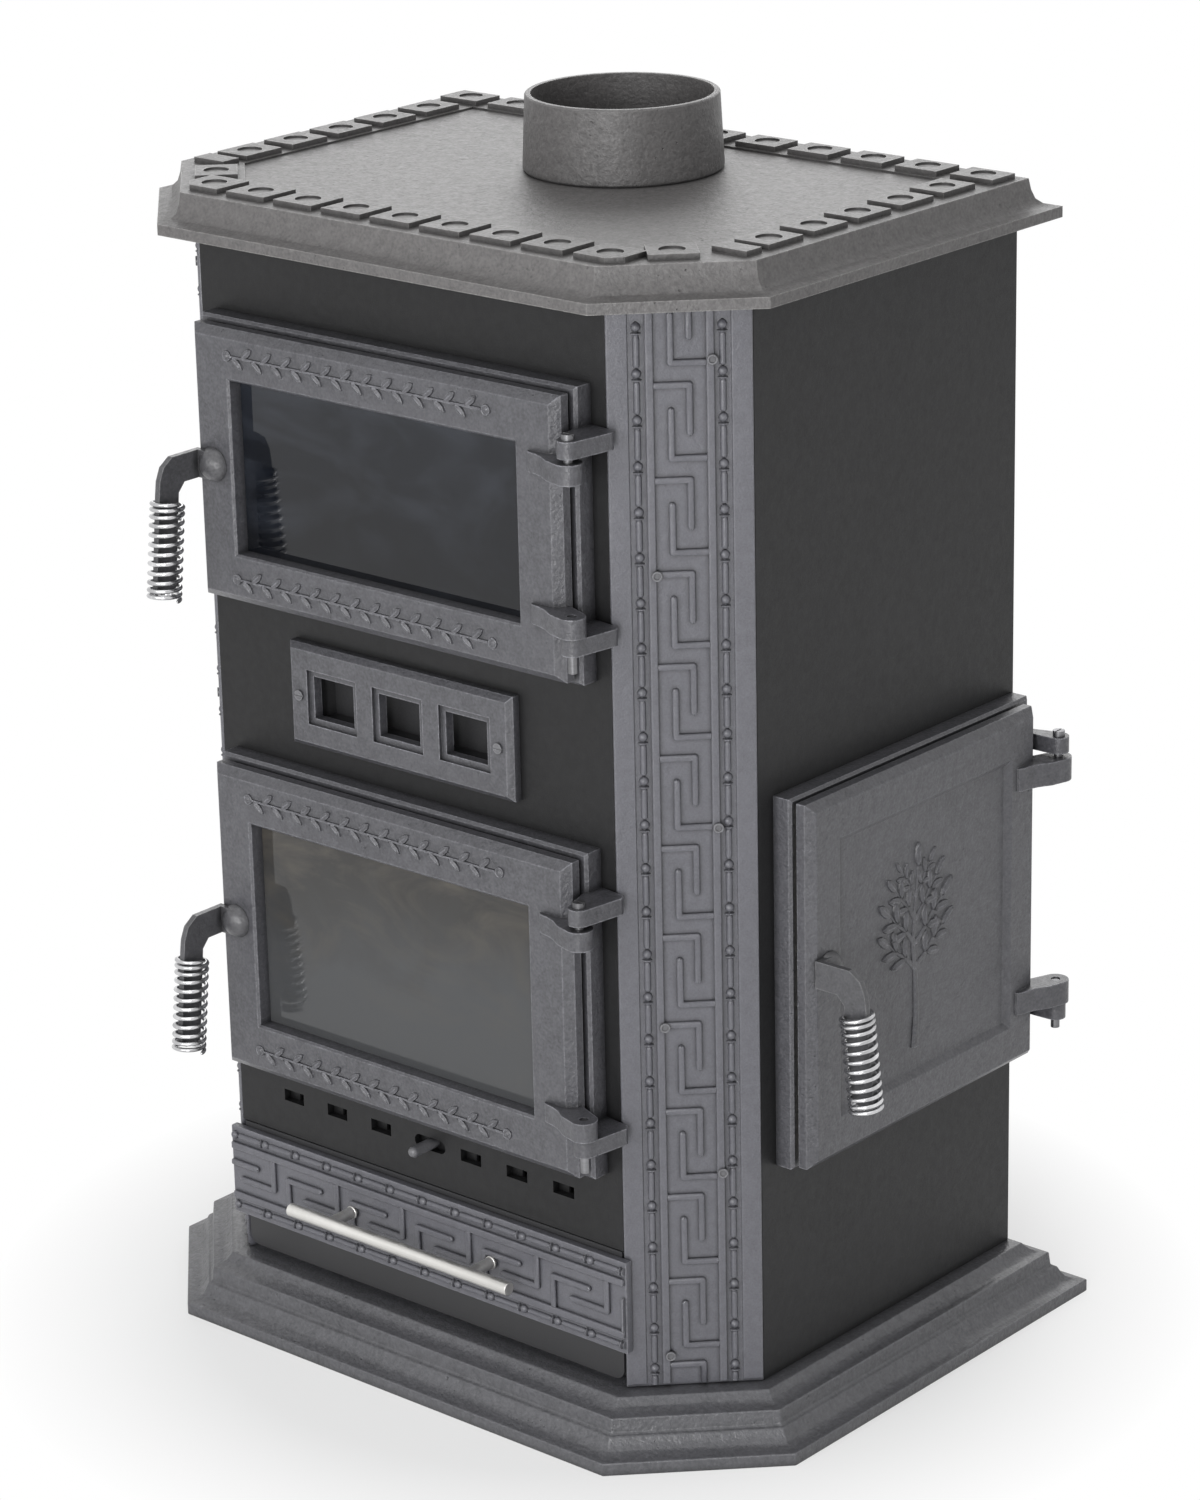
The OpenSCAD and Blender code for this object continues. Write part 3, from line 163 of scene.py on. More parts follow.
def directly_seen(tree):
    """1 for what the camera sees, also in a mirror image or through glass, and 0 for light on the way."""
    rays = node(tree, "LightPath").outputs
    seen = math_node(tree, "MAXIMUM", rays["Is Camera Ray"], rays["Is Glossy Ray"])
    return math_node(tree, "MAXIMUM", seen, rays["Is Transmission Ray"])


def new_group(name, inputs, outputs):
    """Node group with inputs as {name: value} and outputs as {name: kind}; returns its tree and both ends."""
    group = bpy.data.node_groups.new(name, "ShaderNodeTree")
    kinds = {float: "NodeSocketFloat", tuple: "NodeSocketColor"}
    for label, value in inputs.items():
        socket = group.interface.new_socket(label, in_out="INPUT", socket_type=kinds[type(value)])
        socket.default_value = value
    for label, kind in outputs.items():
        group.interface.new_socket(label, in_out="OUTPUT", socket_type="NodeSocket" + kind)
    return group, group.nodes.new("NodeGroupInput"), group.nodes.new("NodeGroupOutput")


def use_group(tree, group, **values):
    """Group placed in a material, with its inputs set by name."""
    made = tree.nodes.new("ShaderNodeGroup")
    made.node_tree = group
    for name, value in values.items():
        made.inputs[name.replace("_", " ")].default_value = value
    return made


# Noise scales of the castings, in features a metre.
LUMPS, PIT_CELLS, PIT_PATCHES, CLOUDS = 140, 210.0, 38, 9


def make_cast_grain():
    """Grain of sand-cast iron: fine pebbles, a few pits and slow clouds of tone."""
    group, given, out = new_group(
        "cast grain",
        {"Pebble scale": 900.0, "Depth": 0.3, "Pits": 0.4},
        {"Tone": "Float", "Clouds": "Float", "Normal": "Vector"},
    )
    place = object_place(group)
    pebbles = noise(group, place, given.outputs["Pebble scale"], 4, 0.55)
    lumps = noise(group, place, LUMPS, 3, 0.6)
    cells = node(group, "TexVoronoi", {"Vector": place, "Scale": PIT_CELLS}, feature="SMOOTH_F1")
    pit = ramp(group, cells.outputs["Distance"], 0.0, 0.16, 1.0, 0.0)
    where = ramp(group, noise(group, place, PIT_PATCHES, 2), 0.52, 0.66)
    pits = times(group, times(group, pit, where), given.outputs["Pits"])
    height = math_node(group, "ADD", times(group, pebbles, 0.5), times(group, lumps, 0.9))
    height = math_node(group, "SUBTRACT", height, pits)
    normal = bump(group, height, given.outputs["Depth"], 0.0008)
    clouds = noise(group, place, CLOUDS, 4, 0.6)
    tone = math_node(group, "ADD", times(group, pebbles, 0.6), times(group, lumps, 0.4))
    tone = math_node(group, "SUBTRACT", tone, times(group, pits, 0.5))
    group.links.new(tone, out.inputs["Tone"])
    group.links.new(clouds, out.inputs["Clouds"])
    group.links.new(normal, out.inputs["Normal"])
    return group


def make_edge_light_and_shade():
    """Masks for edges, lighter from wear and as a painted highlight, and for painted shade in corners and
    creases.
    """
    group, given, out = new_group(
        "edge light and shade", {"Width": 0.0015, "Grime reach": 0.012}, {"Edge": "Float", "Painted shade": "Float"}
    )
    place = object_place(group)
    plain = node(group, "NewGeometry").outputs["Normal"]
    rounded = node(group, "Bevel", {"Radius": given.outputs["Width"]}, samples=4).outputs["Normal"]
    same = node(group, "VectorMath", {0: plain, 1: rounded}, operation="DOT_PRODUCT").outputs["Value"]
    bent = ramp(group, same, 0.995, 0.80)
    # Ambient occlusion: it finds the hollows for the painted shade and keeps the edge mask off them.
    around = node(group, "AmbientOcclusion", {"Distance": given.outputs["Grime reach"]}, samples=4)
    open_sky = around.outputs["AO"]
    outer = ramp(group, open_sky, 0.72, 0.95)
    broken = ramp(group, noise(group, place, 240, 4, 0.7), 0.38, 0.62, 0.25, 1.0)
    # Edge mask: partly wear, partly a painted highlight along the rounded edges.
    edge = times(group, times(group, bent, outer), broken)
    group.links.new(edge, out.inputs["Edge"])
    # Painted shade: the more hemmed in a place is, the darker it is painted.
    group.links.new(ramp(group, open_sky, 0.42, 0.95, 1.0, 0.0), out.inputs["Painted shade"])
    return group


def make_brushing():
    """Fine scratches along one axis, as a height and a mask."""
    group, given, out = new_group(
        "brushing", {"Across X": 1.0, "Across Y": 1.0, "Across Z": 1.0}, {"Mask": "Float", "Normal": "Vector"}
    )
    place = object_place(group)
    scale = node(group, "CombineXYZ", {i: given.outputs[i] for i in range(3)}).outputs[0]
    scratches = noise(group, stretched(group, place, scale), 60, 6, 0.65)
    normal = bump(group, scratches, 0.06, 0.0002)
    group.links.new(ramp(group, scratches, 0.3, 0.7), out.inputs["Mask"])
    group.links.new(normal, out.inputs["Normal"])
    return group


cast_grain = make_cast_grain()
edge_light_and_shade = make_edge_light_and_shade()
brushing = make_brushing()


def new_material(name, **shader_values):
    """Material with plain values on its Principled shader; returns the material, its tree and the shader."""
    material = bpy.data.materials.new(name)
    material.use_nodes = True
    shader = material.node_tree.nodes["Principled BSDF"]
    for label, value in shader_values.items():
        shader.inputs[label.replace("_", " ")].default_value = value
    return material, material.node_tree, shader


def cast_finish(name, dark, pale, worn_and_highlight, grain, rough, specular=0.65, wear=0.8, width=0.0015, reach=0.006):
    """Painted casting: grain (pebble scale, depth, pits), clouds of tone, edges lightened by wear and as a
    painted highlight, and painted shade in the corners.
    """
    material, tree, shader = new_material(name, Specular_IOR_Level=specular)
    surface = use_group(tree, cast_grain, Pebble_scale=grain[0], Depth=grain[1], Pits=grain[2])
    edges = use_group(tree, edge_light_and_shade, Width=width, Grime_reach=reach)
    colour = blend_colours(tree, ramp(tree, surface.outputs["Tone"], 0.35, 0.65), dark, pale)
    clouded = blend_colours(tree, ramp(tree, surface.outputs["Clouds"], 0.3, 0.7, 0.0, 0.35), colour, pale)
    # Painted shade: corners and creases darken towards a fifth of the dark colour.
    painted_shade_colour = tuple(c * 0.2 for c in dark)
    with_painted_shade = blend_colours(tree, times(tree, edges.outputs["Painted shade"], 0.9), clouded, painted_shade_colour)
    # Edges lightened: partly wear, partly a painted highlight.
    rubbed_and_highlit = times(tree, edges.outputs["Edge"], wear)
    finished = blend_colours(tree, rubbed_and_highlit, with_painted_shade, worn_and_highlight)
    tree.links.new(finished, shader.inputs["Base Color"])
    roughness = ramp(tree, surface.outputs["Tone"], 0.3, 0.7, rough + 0.06, rough - 0.06)
    roughness = math_node(tree, "SUBTRACT", roughness, times(tree, rubbed_and_highlit, 0.1))
    tree.links.new(roughness, shader.inputs["Roughness"])
    tree.links.new(surface.outputs["Normal"], shader.inputs["Normal"])
    return material


def steel_finish(name, dark, pale, across, rough):
    """Bare steel with scratches along one axis and a few dull patches."""
    material, tree, shader = new_material(name, Metallic=1.0)
    lines = use_group(tree, brushing, Across_X=across[0], Across_Y=across[1], Across_Z=across[2])
    dull = ramp(tree, noise(tree, object_place(tree), 90, 3), 0.4, 0.7)
    colour = blend_colours(tree, lines.outputs["Mask"], dark, pale)
    colour = blend_colours(tree, times(tree, dull, 0.4), colour, dark)
    tree.links.new(colour, shader.inputs["Base Color"])
    tree.links.new(ramp(tree, dull, 0.0, 1.0, rough, rough + 0.12), shader.inputs["Roughness"])
    tree.links.new(lines.outputs["Normal"], shader.inputs["Normal"])
    return material


def glass_finish(name, tint, film_and_reflection, smoke_and_reflection, band_low, band_high, clearness):
    """Heat-proof pane whose colour changes from one height in metres to another, with drifts across it: soot on
    the fire pane, painted reflection on the oven pane.
    """
    material, tree, shader = new_material(name, IOR=1.5, Specular_IOR_Level=0.38, Transmission_Weight=clearness)
    place = object_place(tree)
    height = node(tree, "SeparateXYZ", {0: place}).outputs["Z"]
    cloud = noise(tree, place, 11, 4, 0.6, 0.6)
    sway = times(tree, math_node(tree, "SUBTRACT", cloud, 0.5), 0.16)
    wander = math_node(tree, "ADD", height, sway)
    # Towards the top: a soot film on the fire pane, a bluish painted reflection on the oven pane.
    colour = blend_colours(tree, ramp(tree, wander, band_low, band_high), tint, film_and_reflection)
    drift = stretched(tree, place, (1, 1, 2.4))
    # Drifts: soot on the fire pane, painted reflection on the oven pane.
    drift_patches = ramp(tree, noise(tree, drift, 9, 5, 0.65, 1.4), 0.45, 0.68, 0.0, 0.8)
    drift_patches = times(tree, drift_patches, ramp(tree, wander, band_low - 0.05, band_high))
    tree.links.new(blend_colours(tree, drift_patches, colour, smoke_and_reflection), shader.inputs["Base Color"])
    tree.links.new(ramp(tree, cloud, 0.3, 0.7, 0.02, 0.07), shader.inputs["Roughness"])
    return material


def plain_finish(name, dark, pale, scale, rough, depth, specular):
    """Matt surface with a fine noise in its colour and its height, for brick and sheet."""
    material, tree, shader = new_material(name, Specular_IOR_Level=specular)
    place = object_place(tree)
    fine = noise(tree, place, scale, 5, 0.6)
    slow = noise(tree, place, scale / 40, 3, 0.6)
    colour = blend_colours(tree, ramp(tree, fine, 0.35, 0.65), dark, pale)
    colour = blend_colours(tree, ramp(tree, slow, 0.35, 0.7, 0.0, 0.5), colour, pale)
    tree.links.new(colour, shader.inputs["Base Color"])
    tree.links.new(ramp(tree, fine, 0.3, 0.7, rough + 0.08, rough - 0.05), shader.inputs["Roughness"])
    tree.links.new(bump(tree, fine, depth, 0.0006), shader.inputs["Normal"])
    return material


def rope_finish():
    """Braided glass rope: two slanting sets of strands over a fuzzy noise."""
    material, tree, shader = new_material("glass rope", Specular_IOR_Level=0.1)
    place = object_place(tree)
    strands = []
    for slant in ((1.0, 1.0, 1.0), (1.0, 1.0, -1.0)):
        wave = {"Vector": stretched(tree, place, slant), "Scale": 90.0, "Distortion": 1.5, "Detail": 1.0}
        strands.append(node(tree, "TexWave", wave, bands_direction="DIAGONAL").outputs["Fac"])
    braid = math_node(tree, "MAXIMUM", strands[0], strands[1])
    fuzz = noise(tree, place, 1600, 4, 0.7)
    height = math_node(tree, "ADD", braid, times(tree, fuzz, 0.4))
    # Lighter on the strands' crests and darker between them: painted shade in the braid's grooves, with fuzz in
    # the tone.
    colour = blend_colours(tree, ramp(tree, height, 0.4, 1.2), (0.17, 0.165, 0.15), (0.50, 0.48, 0.44))
    tree.links.new(colour, shader.inputs["Base Color"])
    tree.links.new(ramp(tree, fuzz, 0.3, 0.7, 0.82, 0.98), shader.inputs["Roughness"])
    tree.links.new(bump(tree, height, 0.9, 0.001), shader.inputs["Normal"])
    return material


# Each casting's edge colour and its wear lighten its edges, partly as wear and partly as a painted highlight;
# reach sets how far its painted shade in corners goes.
finishes = {
    "graphite": cast_finish(
        "graphite casting", dark=(0.044, 0.044, 0.050), pale=(0.108, 0.108, 0.120), worn_and_highlight=(0.42, 0.42, 0.46),
        grain=(480.0, 1.0, 0.8), rough=0.38, wear=0.95, width=0.0018),
    "hob": cast_finish(
        "hob casting", dark=(0.072, 0.069, 0.069), pale=(0.155, 0.149, 0.148), worn_and_highlight=(0.42, 0.41, 0.40),
        grain=(440.0, 0.9, 1.0), rough=0.48, wear=0.9),
    "plinth": cast_finish(
        "plinth casting", dark=(0.055, 0.056, 0.061), pale=(0.122, 0.122, 0.133), worn_and_highlight=(0.42, 0.42, 0.45),
        grain=(400.0, 1.0, 1.0), rough=0.38, wear=0.9),
    "pilaster": cast_finish(
        "pilaster casting", dark=(0.090, 0.091, 0.104), pale=(0.142, 0.142, 0.162), worn_and_highlight=(0.46, 0.46, 0.49),
        grain=(800.0, 0.45, 0.3), rough=0.36, wear=0.9, reach=0.003),
    "panel": cast_finish(
        "panel paint", dark=(0.009, 0.009, 0.0095), pale=(0.019, 0.019, 0.020), worn_and_highlight=(0.06, 0.06, 0.06),
        grain=(1400.0, 0.3, 0.1), rough=0.46, specular=0.30, wear=0.5, width=0.0008),
    "inside": cast_finish(
        "sooted casting", dark=(0.020, 0.019, 0.018), pale=(0.045, 0.043, 0.041), worn_and_highlight=(0.09, 0.09, 0.09),
        grain=(700.0, 0.6, 0.9), rough=0.75, specular=0.2, wear=0.3),
    "sheet": plain_finish(
        "black sheet", dark=(0.028, 0.028, 0.030), pale=(0.042, 0.042, 0.044),
        scale=1300, rough=0.45, depth=0.15, specular=0.4),
    "pin": steel_finish(
        "pin steel", dark=(0.10, 0.10, 0.105), pale=(0.30, 0.30, 0.31), across=(0.2, 0.2, 1.0), rough=0.38),
    "bright": steel_finish(
        "bright steel", dark=(0.34, 0.34, 0.345), pale=(0.72, 0.72, 0.73), across=(0.2, 0.2, 1.0), rough=0.22),
    "spring": steel_finish(
        "spring steel", dark=(0.38, 0.38, 0.39), pale=(0.80, 0.80, 0.81), across=(1.0, 1.0, 1.0), rough=0.18),
    "handle": cast_finish(
        "handle casting", dark=(0.050, 0.050, 0.054), pale=(0.110, 0.110, 0.118), worn_and_highlight=(0.34, 0.34, 0.35),
        grain=(520.0, 0.7, 0.5), rough=0.36),
    "stainless": steel_finish(
        "brushed stainless", dark=(0.55, 0.54, 0.52), pale=(0.92, 0.91, 0.88),
        across=(0.03, 1.0, 1.0), rough=0.40),
    "screw": cast_finish(
        "screw paint", dark=(0.10, 0.10, 0.11), pale=(0.17, 0.17, 0.18), worn_and_highlight=(0.40, 0.40, 0.42),
        grain=(900.0, 0.2, 0.1), rough=0.34),
    "brick": plain_finish(
        "buff brick", dark=(0.42, 0.34, 0.22), pale=(0.66, 0.56, 0.40),
        scale=420, rough=0.85, depth=0.6, specular=0.2),
    "rope": rope_finish(),
    # The oven pane's bluish film and drifts near its top are painted reflection.
    "upper_glass": glass_finish(
        "oven glass", tint=(0.006, 0.007, 0.010), film_and_reflection=(0.012, 0.015, 0.022), smoke_and_reflection=(0.045, 0.052, 0.068),
        band_low=0.62, band_high=0.74, clearness=0.3),
    "lower_glass": glass_finish(
        "fire glass", tint=(0.085, 0.088, 0.092), film_and_reflection=(0.052, 0.050, 0.047), smoke_and_reflection=(0.120, 0.108, 0.092),
        band_low=0.30, band_high=0.40, clearness=0.2),
}

# ---------- modelling helpers ----------


def pick(piece):
    """Only this piece selected and active."""
    if bpy.context.object and bpy.context.object.mode != "OBJECT":
        bpy.ops.object.mode_set(mode="OBJECT")
    bpy.ops.object.select_all(action="DESELECT")
    piece.hide_set(False)
    piece.select_set(True)
    bpy.context.view_layer.objects.active = piece


SHARP_ANGLE = 30
MERGE_GAP = 0.01  # points nearer than this, in millimetres, become one


def edit(piece):
    """Edit mode with all of the piece selected."""
    pick(piece)
    bpy.ops.object.mode_set(mode="EDIT")
    bpy.ops.mesh.select_all(action="SELECT")


def finish_mesh():
    """Turns every face outward and leaves edit mode."""
    bpy.ops.mesh.select_all(action="SELECT")
    bpy.ops.mesh.normals_make_consistent(inside=False)
    bpy.ops.object.mode_set(mode="OBJECT")


def smooth_shading(piece, angle=40):
    """Smooth shading up to an angle, with the flat faces kept flat."""
    pick(piece)
    bpy.ops.object.shade_smooth_by_angle(angle=math.radians(angle))
    flat = piece.modifiers.new("flat faces", "WEIGHTED_NORMAL")
    flat.keep_sharp = True
    flat.weight = 100
    bpy.ops.object.modifier_apply(modifier=flat.name)


def round_edges(piece, width, segments=2, clamp=False):
    """Bevel on the sharp edges, applied, and smooth shading between them."""
    pick(piece)
    bevel = piece.modifiers.new("rounding", "BEVEL")
    bevel.width = width * MM
    bevel.segments = segments
    bevel.limit_method = "ANGLE"
    bevel.angle_limit = math.radians(SHARP_ANGLE)
    bevel.use_clamp_overlap = clamp
    bpy.ops.object.modifier_apply(modifier=bevel.name)
    smooth_shading(piece)


def fasten(piece, body, finish, replaced):
    """The piece gets its finish and its body, and the CAD node that it stands for is hidden."""
    piece.data.materials.clear()
    piece.data.materials.append(finishes[finish])
    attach(piece, body)
    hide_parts(replaced)


def merged_copy(node_name, piece_name):
    """Copy of a CAD node's mesh as one skin, its flat faces whole again."""
    source = frame["nodes"][node_name]
    piece = bpy.data.objects.new(piece_name, source.data.copy())
    scene.collection.objects.link(piece)
    edit(piece)
    bpy.ops.mesh.remove_doubles(threshold=MERGE_GAP * MM)
    bpy.ops.mesh.dissolve_limited(angle_limit=math.radians(0.5))
    bpy.ops.object.mode_set(mode="OBJECT")
    return piece


def turn(degrees, axis="Z"):
    return Matrix.Rotation(math.radians(degrees), 4, axis)


def shift(x=0.0, y=0.0, z=0.0):
    return Matrix.Translation(Vector((x, y, z)) * MM)


# Places on the bench: x along the panel, y the height above the floor, z out of the panel's face.
HALF_W, HALF_D, CORNER_LEG = 254, 180, 68.6
ON_FRONT = shift(y=-HALF_D) @ turn(90, "X")
ON_SIDE = shift(x=HALF_W) @ turn(90) @ turn(90, "X")
ON_CORNER = shift(x=HALF_W - CORNER_LEG, y=-HALF_D) @ turn(45) @ turn(90, "X")


def apply_place(piece, matrix):
    """The piece is moved by the matrix, and its place goes into its mesh."""
    pick(piece)
    piece.matrix_world = matrix @ piece.matrix_world
    bpy.ops.object.transform_apply(location=True, rotation=True, scale=True)


def add_block(x0, x1, y0, y1, z0, z1):
    """Cube primitive between two corners on the bench, in millimetres."""
    bpy.ops.object.select_all(action="DESELECT")
    middle = Vector(((x0 + x1) / 2, (y0 + y1) / 2, (z0 + z1) / 2)) * MM
    bpy.ops.mesh.primitive_cube_add(size=1, location=middle)
    piece = bpy.context.object
    piece.scale = Vector((x1 - x0, y1 - y0, z1 - z0)) * MM
    bpy.ops.object.transform_apply(location=True, rotation=True, scale=True)
    return piece


def choose(piece, kind, wanted):
    """In edit mode, selects the vertices, edges or faces whose middle passes the test, in millimetres."""
    bpy.ops.mesh.select_all(action="DESELECT")
    bpy.ops.mesh.select_mode(type=kind)
    bpy.ops.object.mode_set(mode="OBJECT")
    mesh = piece.data
    points = [v.co / MM for v in mesh.vertices]
    if kind == "VERT":
        for v in mesh.vertices:
            v.select = wanted(points[v.index])
    elif kind == "EDGE":
        for e in mesh.edges:
            e.select = wanted((points[e.vertices[0]] + points[e.vertices[1]]) / 2)
    else:
        for f in mesh.polygons:
            f.select = wanted(f.center / MM)
    bpy.ops.object.mode_set(mode="EDIT")


def extrude(x=0.0, y=0.0, z=0.0):
    """Extrudes what is selected, by a way in millimetres."""
    bpy.ops.mesh.extrude_region_move(TRANSFORM_OT_translate={"value": Vector((x, y, z)) * MM})


def resize(x, y, z, about=(0, 0, 0)):
    """Scales what is selected about a point in millimetres."""
    bpy.ops.transform.resize(value=(x, y, z), center_override=[c * MM for c in about])


def own_copy(piece, matrix):
    """Copy with its own mesh, at another place."""
    made = bpy.data.objects.new(piece.name, piece.data.copy())
    scene.collection.objects.link(made)
    made.data.transform(matrix)
    return made


def joined(pieces, name):
    """All the pieces as one."""
    pick(pieces[0])
    for piece in pieces:
        piece.select_set(True)
    bpy.ops.object.join()
    bpy.context.object.name = name
    return bpy.context.object


def discard(*spares):
    for spare in spares:
        bpy.data.objects.remove(spare)


def cut_off(piece, height, keep_above):
    """Cuts the piece level at a height on the bench and closes the cut."""
    edit(piece)
    bpy.ops.mesh.bisect(plane_co=(0, height * MM, 0), plane_no=(0, 1, 0), use_fill=True,
                        clear_inner=keep_above, clear_outer=not keep_above)
    bpy.ops.object.mode_set(mode="OBJECT")


def close_ring(piece, height):
    """In edit mode, fills the ring of edges at a height along Z."""
    choose(piece, "EDGE", lambda p: abs(p.z - height) < MERGE_GAP)
    bpy.ops.mesh.edge_face_add()


def start_ring(vertices, radius, **place):
    """Ring of edges on the bench, in edit mode with all of it selected."""
    bpy.ops.object.select_all(action="DESELECT")
    bpy.ops.mesh.primitive_circle_add(vertices=vertices, radius=radius * MM, **place)
    ring = bpy.context.object
    bpy.ops.object.transform_apply(location=True, rotation=True, scale=True)
    bpy.ops.object.mode_set(mode="EDIT")
    bpy.ops.mesh.select_all(action="SELECT")
    return ring


def turned(rings, vertices=16):
    """Solid of revolution about Z from its rings, each a radius and a height in millimetres."""
    piece = start_ring(vertices, rings[0][0], location=(0, 0, rings[0][1] * MM))
    for (before, start), (after, end) in zip(rings, rings[1:]):
        extrude(z=end - start)
        size = after / before
        resize(size, size, 1, about=(0, 0, end))
    close_ring(piece, rings[0][1])
    close_ring(piece, rings[-1][1])
    finish_mesh()
    return piece


def small_leaf(length, width, height):
    """Leaf in relief with a raised midrib; its stalk end at 0 and its tip along X."""
    shoulder = height * 0.55
    leaf = start_ring(12, 1)
    resize(length / 2, width / 2, 1)
    choose(leaf, "VERT", lambda p: abs(p.x) > length * 0.35)
    resize(1, 0.62, 1)
    bpy.ops.mesh.select_all(action="SELECT")
    extrude(z=shoulder)
    resize(0.93, 0.82, 1, about=(0, 0, shoulder))
    extrude(z=height - shoulder)
    resize(0.88, 0, 1, about=(0, 0, height))
    bpy.ops.mesh.select_all(action="SELECT")
    bpy.ops.mesh.remove_doubles(threshold=MERGE_GAP * MM)
    close_ring(leaf, 0)
    finish_mesh()
    apply_place(leaf, shift(x=length / 2))
    return leaf


def stalk(points, start, end):
    """Half-round stalk through points on the bench, thinning from one radius to another."""
    first = (points[0][0] * MM, points[0][1] * MM, 0)
    piece = start_ring(10, start, rotation=(math.radians(90), 0, 0), location=first)
    thinner = (end / start) ** (1 / (len(points) - 1))
    for (xa, ya), (xb, yb) in zip(points, points[1:]):
        extrude(x=xb - xa, y=yb - ya)
        resize(thinner, 1, thinner, about=(xb, yb, 0))
    for _, y in (points[0], points[-1]):
        choose(piece, "EDGE", lambda p: abs(p.y - y) < MERGE_GAP)
        bpy.ops.mesh.edge_face_add()
    bpy.ops.mesh.select_all(action="SELECT")
    resize(1, 1, 0.6)
    finish_mesh()
    return piece


def leaf_row(x0, x1, y, z):
    """Running row of leaves to both sides of a thin stem, with a button at each end, for a door's rail."""
    leaf = small_leaf(13, 5.6, 2.2)
    room = x1 - x0 - 14
    count = round(room / 9.5)
    pieces = []
    for k in range(count):
        pieces.append(own_copy(leaf, shift(x0 + 5 + room / count * k, y, z) @ turn(38 if k % 2 else -38)))
    discard(leaf)
    stem = add_block(x0 + 4, x1 - 4, y - 0.9, y + 0.9, z - 0.4, z + 1.2)
    round_edges(stem, 0.4)
    dish = [(4.0, -0.3), (4.0, 0.8), (3.4, 1.4), (2.7, 1.0), (2.3, 1.1), (1.6, 1.8), (0.6, 2.1)]
    button = turned(dish, 18)
    pieces += [stem] + [own_copy(button, shift(x, y, z)) for x in (x0, x1)]
    discard(button)
    return joined(pieces, "leaf row")


# The sprig's pairs of branches, each a height, a slant and a size; a branch's leaves, each a way and a slant.
BRANCHES = ((60, 52, 1.15), (78, 47, 1.2), (96, 41, 1.05), (113, 36, 0.8))
BRANCH_LEAVES = ((12, 48), (13, -48), (23, 40), (24, -40), (33, 0))


def sprig(foot, z):
    """Upright sprig with paired branches of leaves, for the fuel door's sunk panel."""
    x, y = foot
    bends = ((0, 0), (2, 26), (1, 52), (-2, 76), (0, 100), (3, 122), (4, 138))
    stem = stalk([(x + dx, y + dy) for dx, dy in bends], 4.2, 1.2)
    leaf = small_leaf(19, 7.8, 2.6)
    twig = stalk([(0, 0), (1.5, 12), (0.5, 24), (2, 34)], 2.2, 0.9)
    pieces = [own_copy(stem, shift(z=z)), own_copy(leaf, shift(x + 4, y + 134, z) @ turn(88))]
    for height, slant, size in BRANCHES:
        for side in (1, -1):
            at = shift(x - 1 + height / 60, y + height, z) @ turn(-slant * side) @ Matrix.Scale(size, 4)
            pieces.append(own_copy(twig, at))
            for along, out in BRANCH_LEAVES:
                on_twig = shift(x=1, y=along) @ turn(90 + out) @ Matrix.Scale(0.8, 4)
                pieces.append(own_copy(leaf, at @ on_twig))
    discard(stem, leaf, twig)
    return joined(pieces, "sprig")


# The doors' faces out of the panel, in millimetres, and the heights of their rails.
LEAF_FACE, SUNK_FACE = 30.9, 26.9
RAIL_HEIGHTS = {"upper_door_leaf": (585, 746), "lower_door_leaf": (227, 421)}


def door_relief(node_name):
    """Cast ornament that belongs to a door's leaf, in place on it; nothing for another node."""
    if node_name in RAIL_HEIGHTS:
        rows = [leaf_row(-132, 108, y, LEAF_FACE) for y in RAIL_HEIGHTS[node_name]]
        relief = joined(rows, "rows")
        apply_place(relief, ON_FRONT)
        return [relief]
    if node_name == "side_door_leaf":
        relief = sprig((27, 258), SUNK_FACE)
        apply_place(relief, ON_SIDE)
        return [relief]
    return []


def casting(node_name, finish, width):
    """Finished copy of a CAD node with rounded edges, and with its relief if it has one."""
    piece = merged_copy(node_name, node_name + "_finished")
    round_edges(piece, width, clamp=node_name != "flue_collar")
    relief = door_relief(node_name)
    if relief:
        piece = joined([piece] + relief, piece.name)
        smooth_shading(piece, 28)
    fasten(piece, frame["nodes"][node_name]["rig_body"], finish, node_name)


# ---------- the pieces ----------

# Each casting's finish and the width of its rounded edges in millimetres.
cast_pieces = {
    "base_plinth": ("plinth", 0.9), "top_plate": ("hob", 0.7), "flue_collar": ("hob", 0.35),
    "front_panel": ("panel", 0.4), "left_panel": ("panel", 0.5), "right_panel": ("panel", 0.5),
    "back_panel": ("panel", 0.5), "vent_grille": ("graphite", 0.7),
    "upper_door_frame": ("graphite", 0.8), "lower_door_frame": ("graphite", 0.8),
    "side_door_frame": ("graphite", 0.8), "upper_door_leaf": ("graphite", 0.8),
    "lower_door_leaf": ("graphite", 0.8), "side_door_leaf": ("graphite", 0.8),
    "drawer_sheet": ("sheet", 0.3),
    "pilaster_screws": ("screw", 0.3), "vent_screws": ("screw", 0.25),
    "upper_handle": ("handle", 0.9), "lower_handle": ("handle", 0.9), "side_handle": ("handle", 0.9),
    "upper_hinge_pins": ("pin", 0.5), "lower_hinge_pins": ("pin", 0.5), "side_hinge_pins": ("pin", 0.5),
    "air_slide_stud": ("screw", 0.3), "upper_glass": ("upper_glass", 0.3),
    "lower_glass": ("lower_glass", 0.3),
}
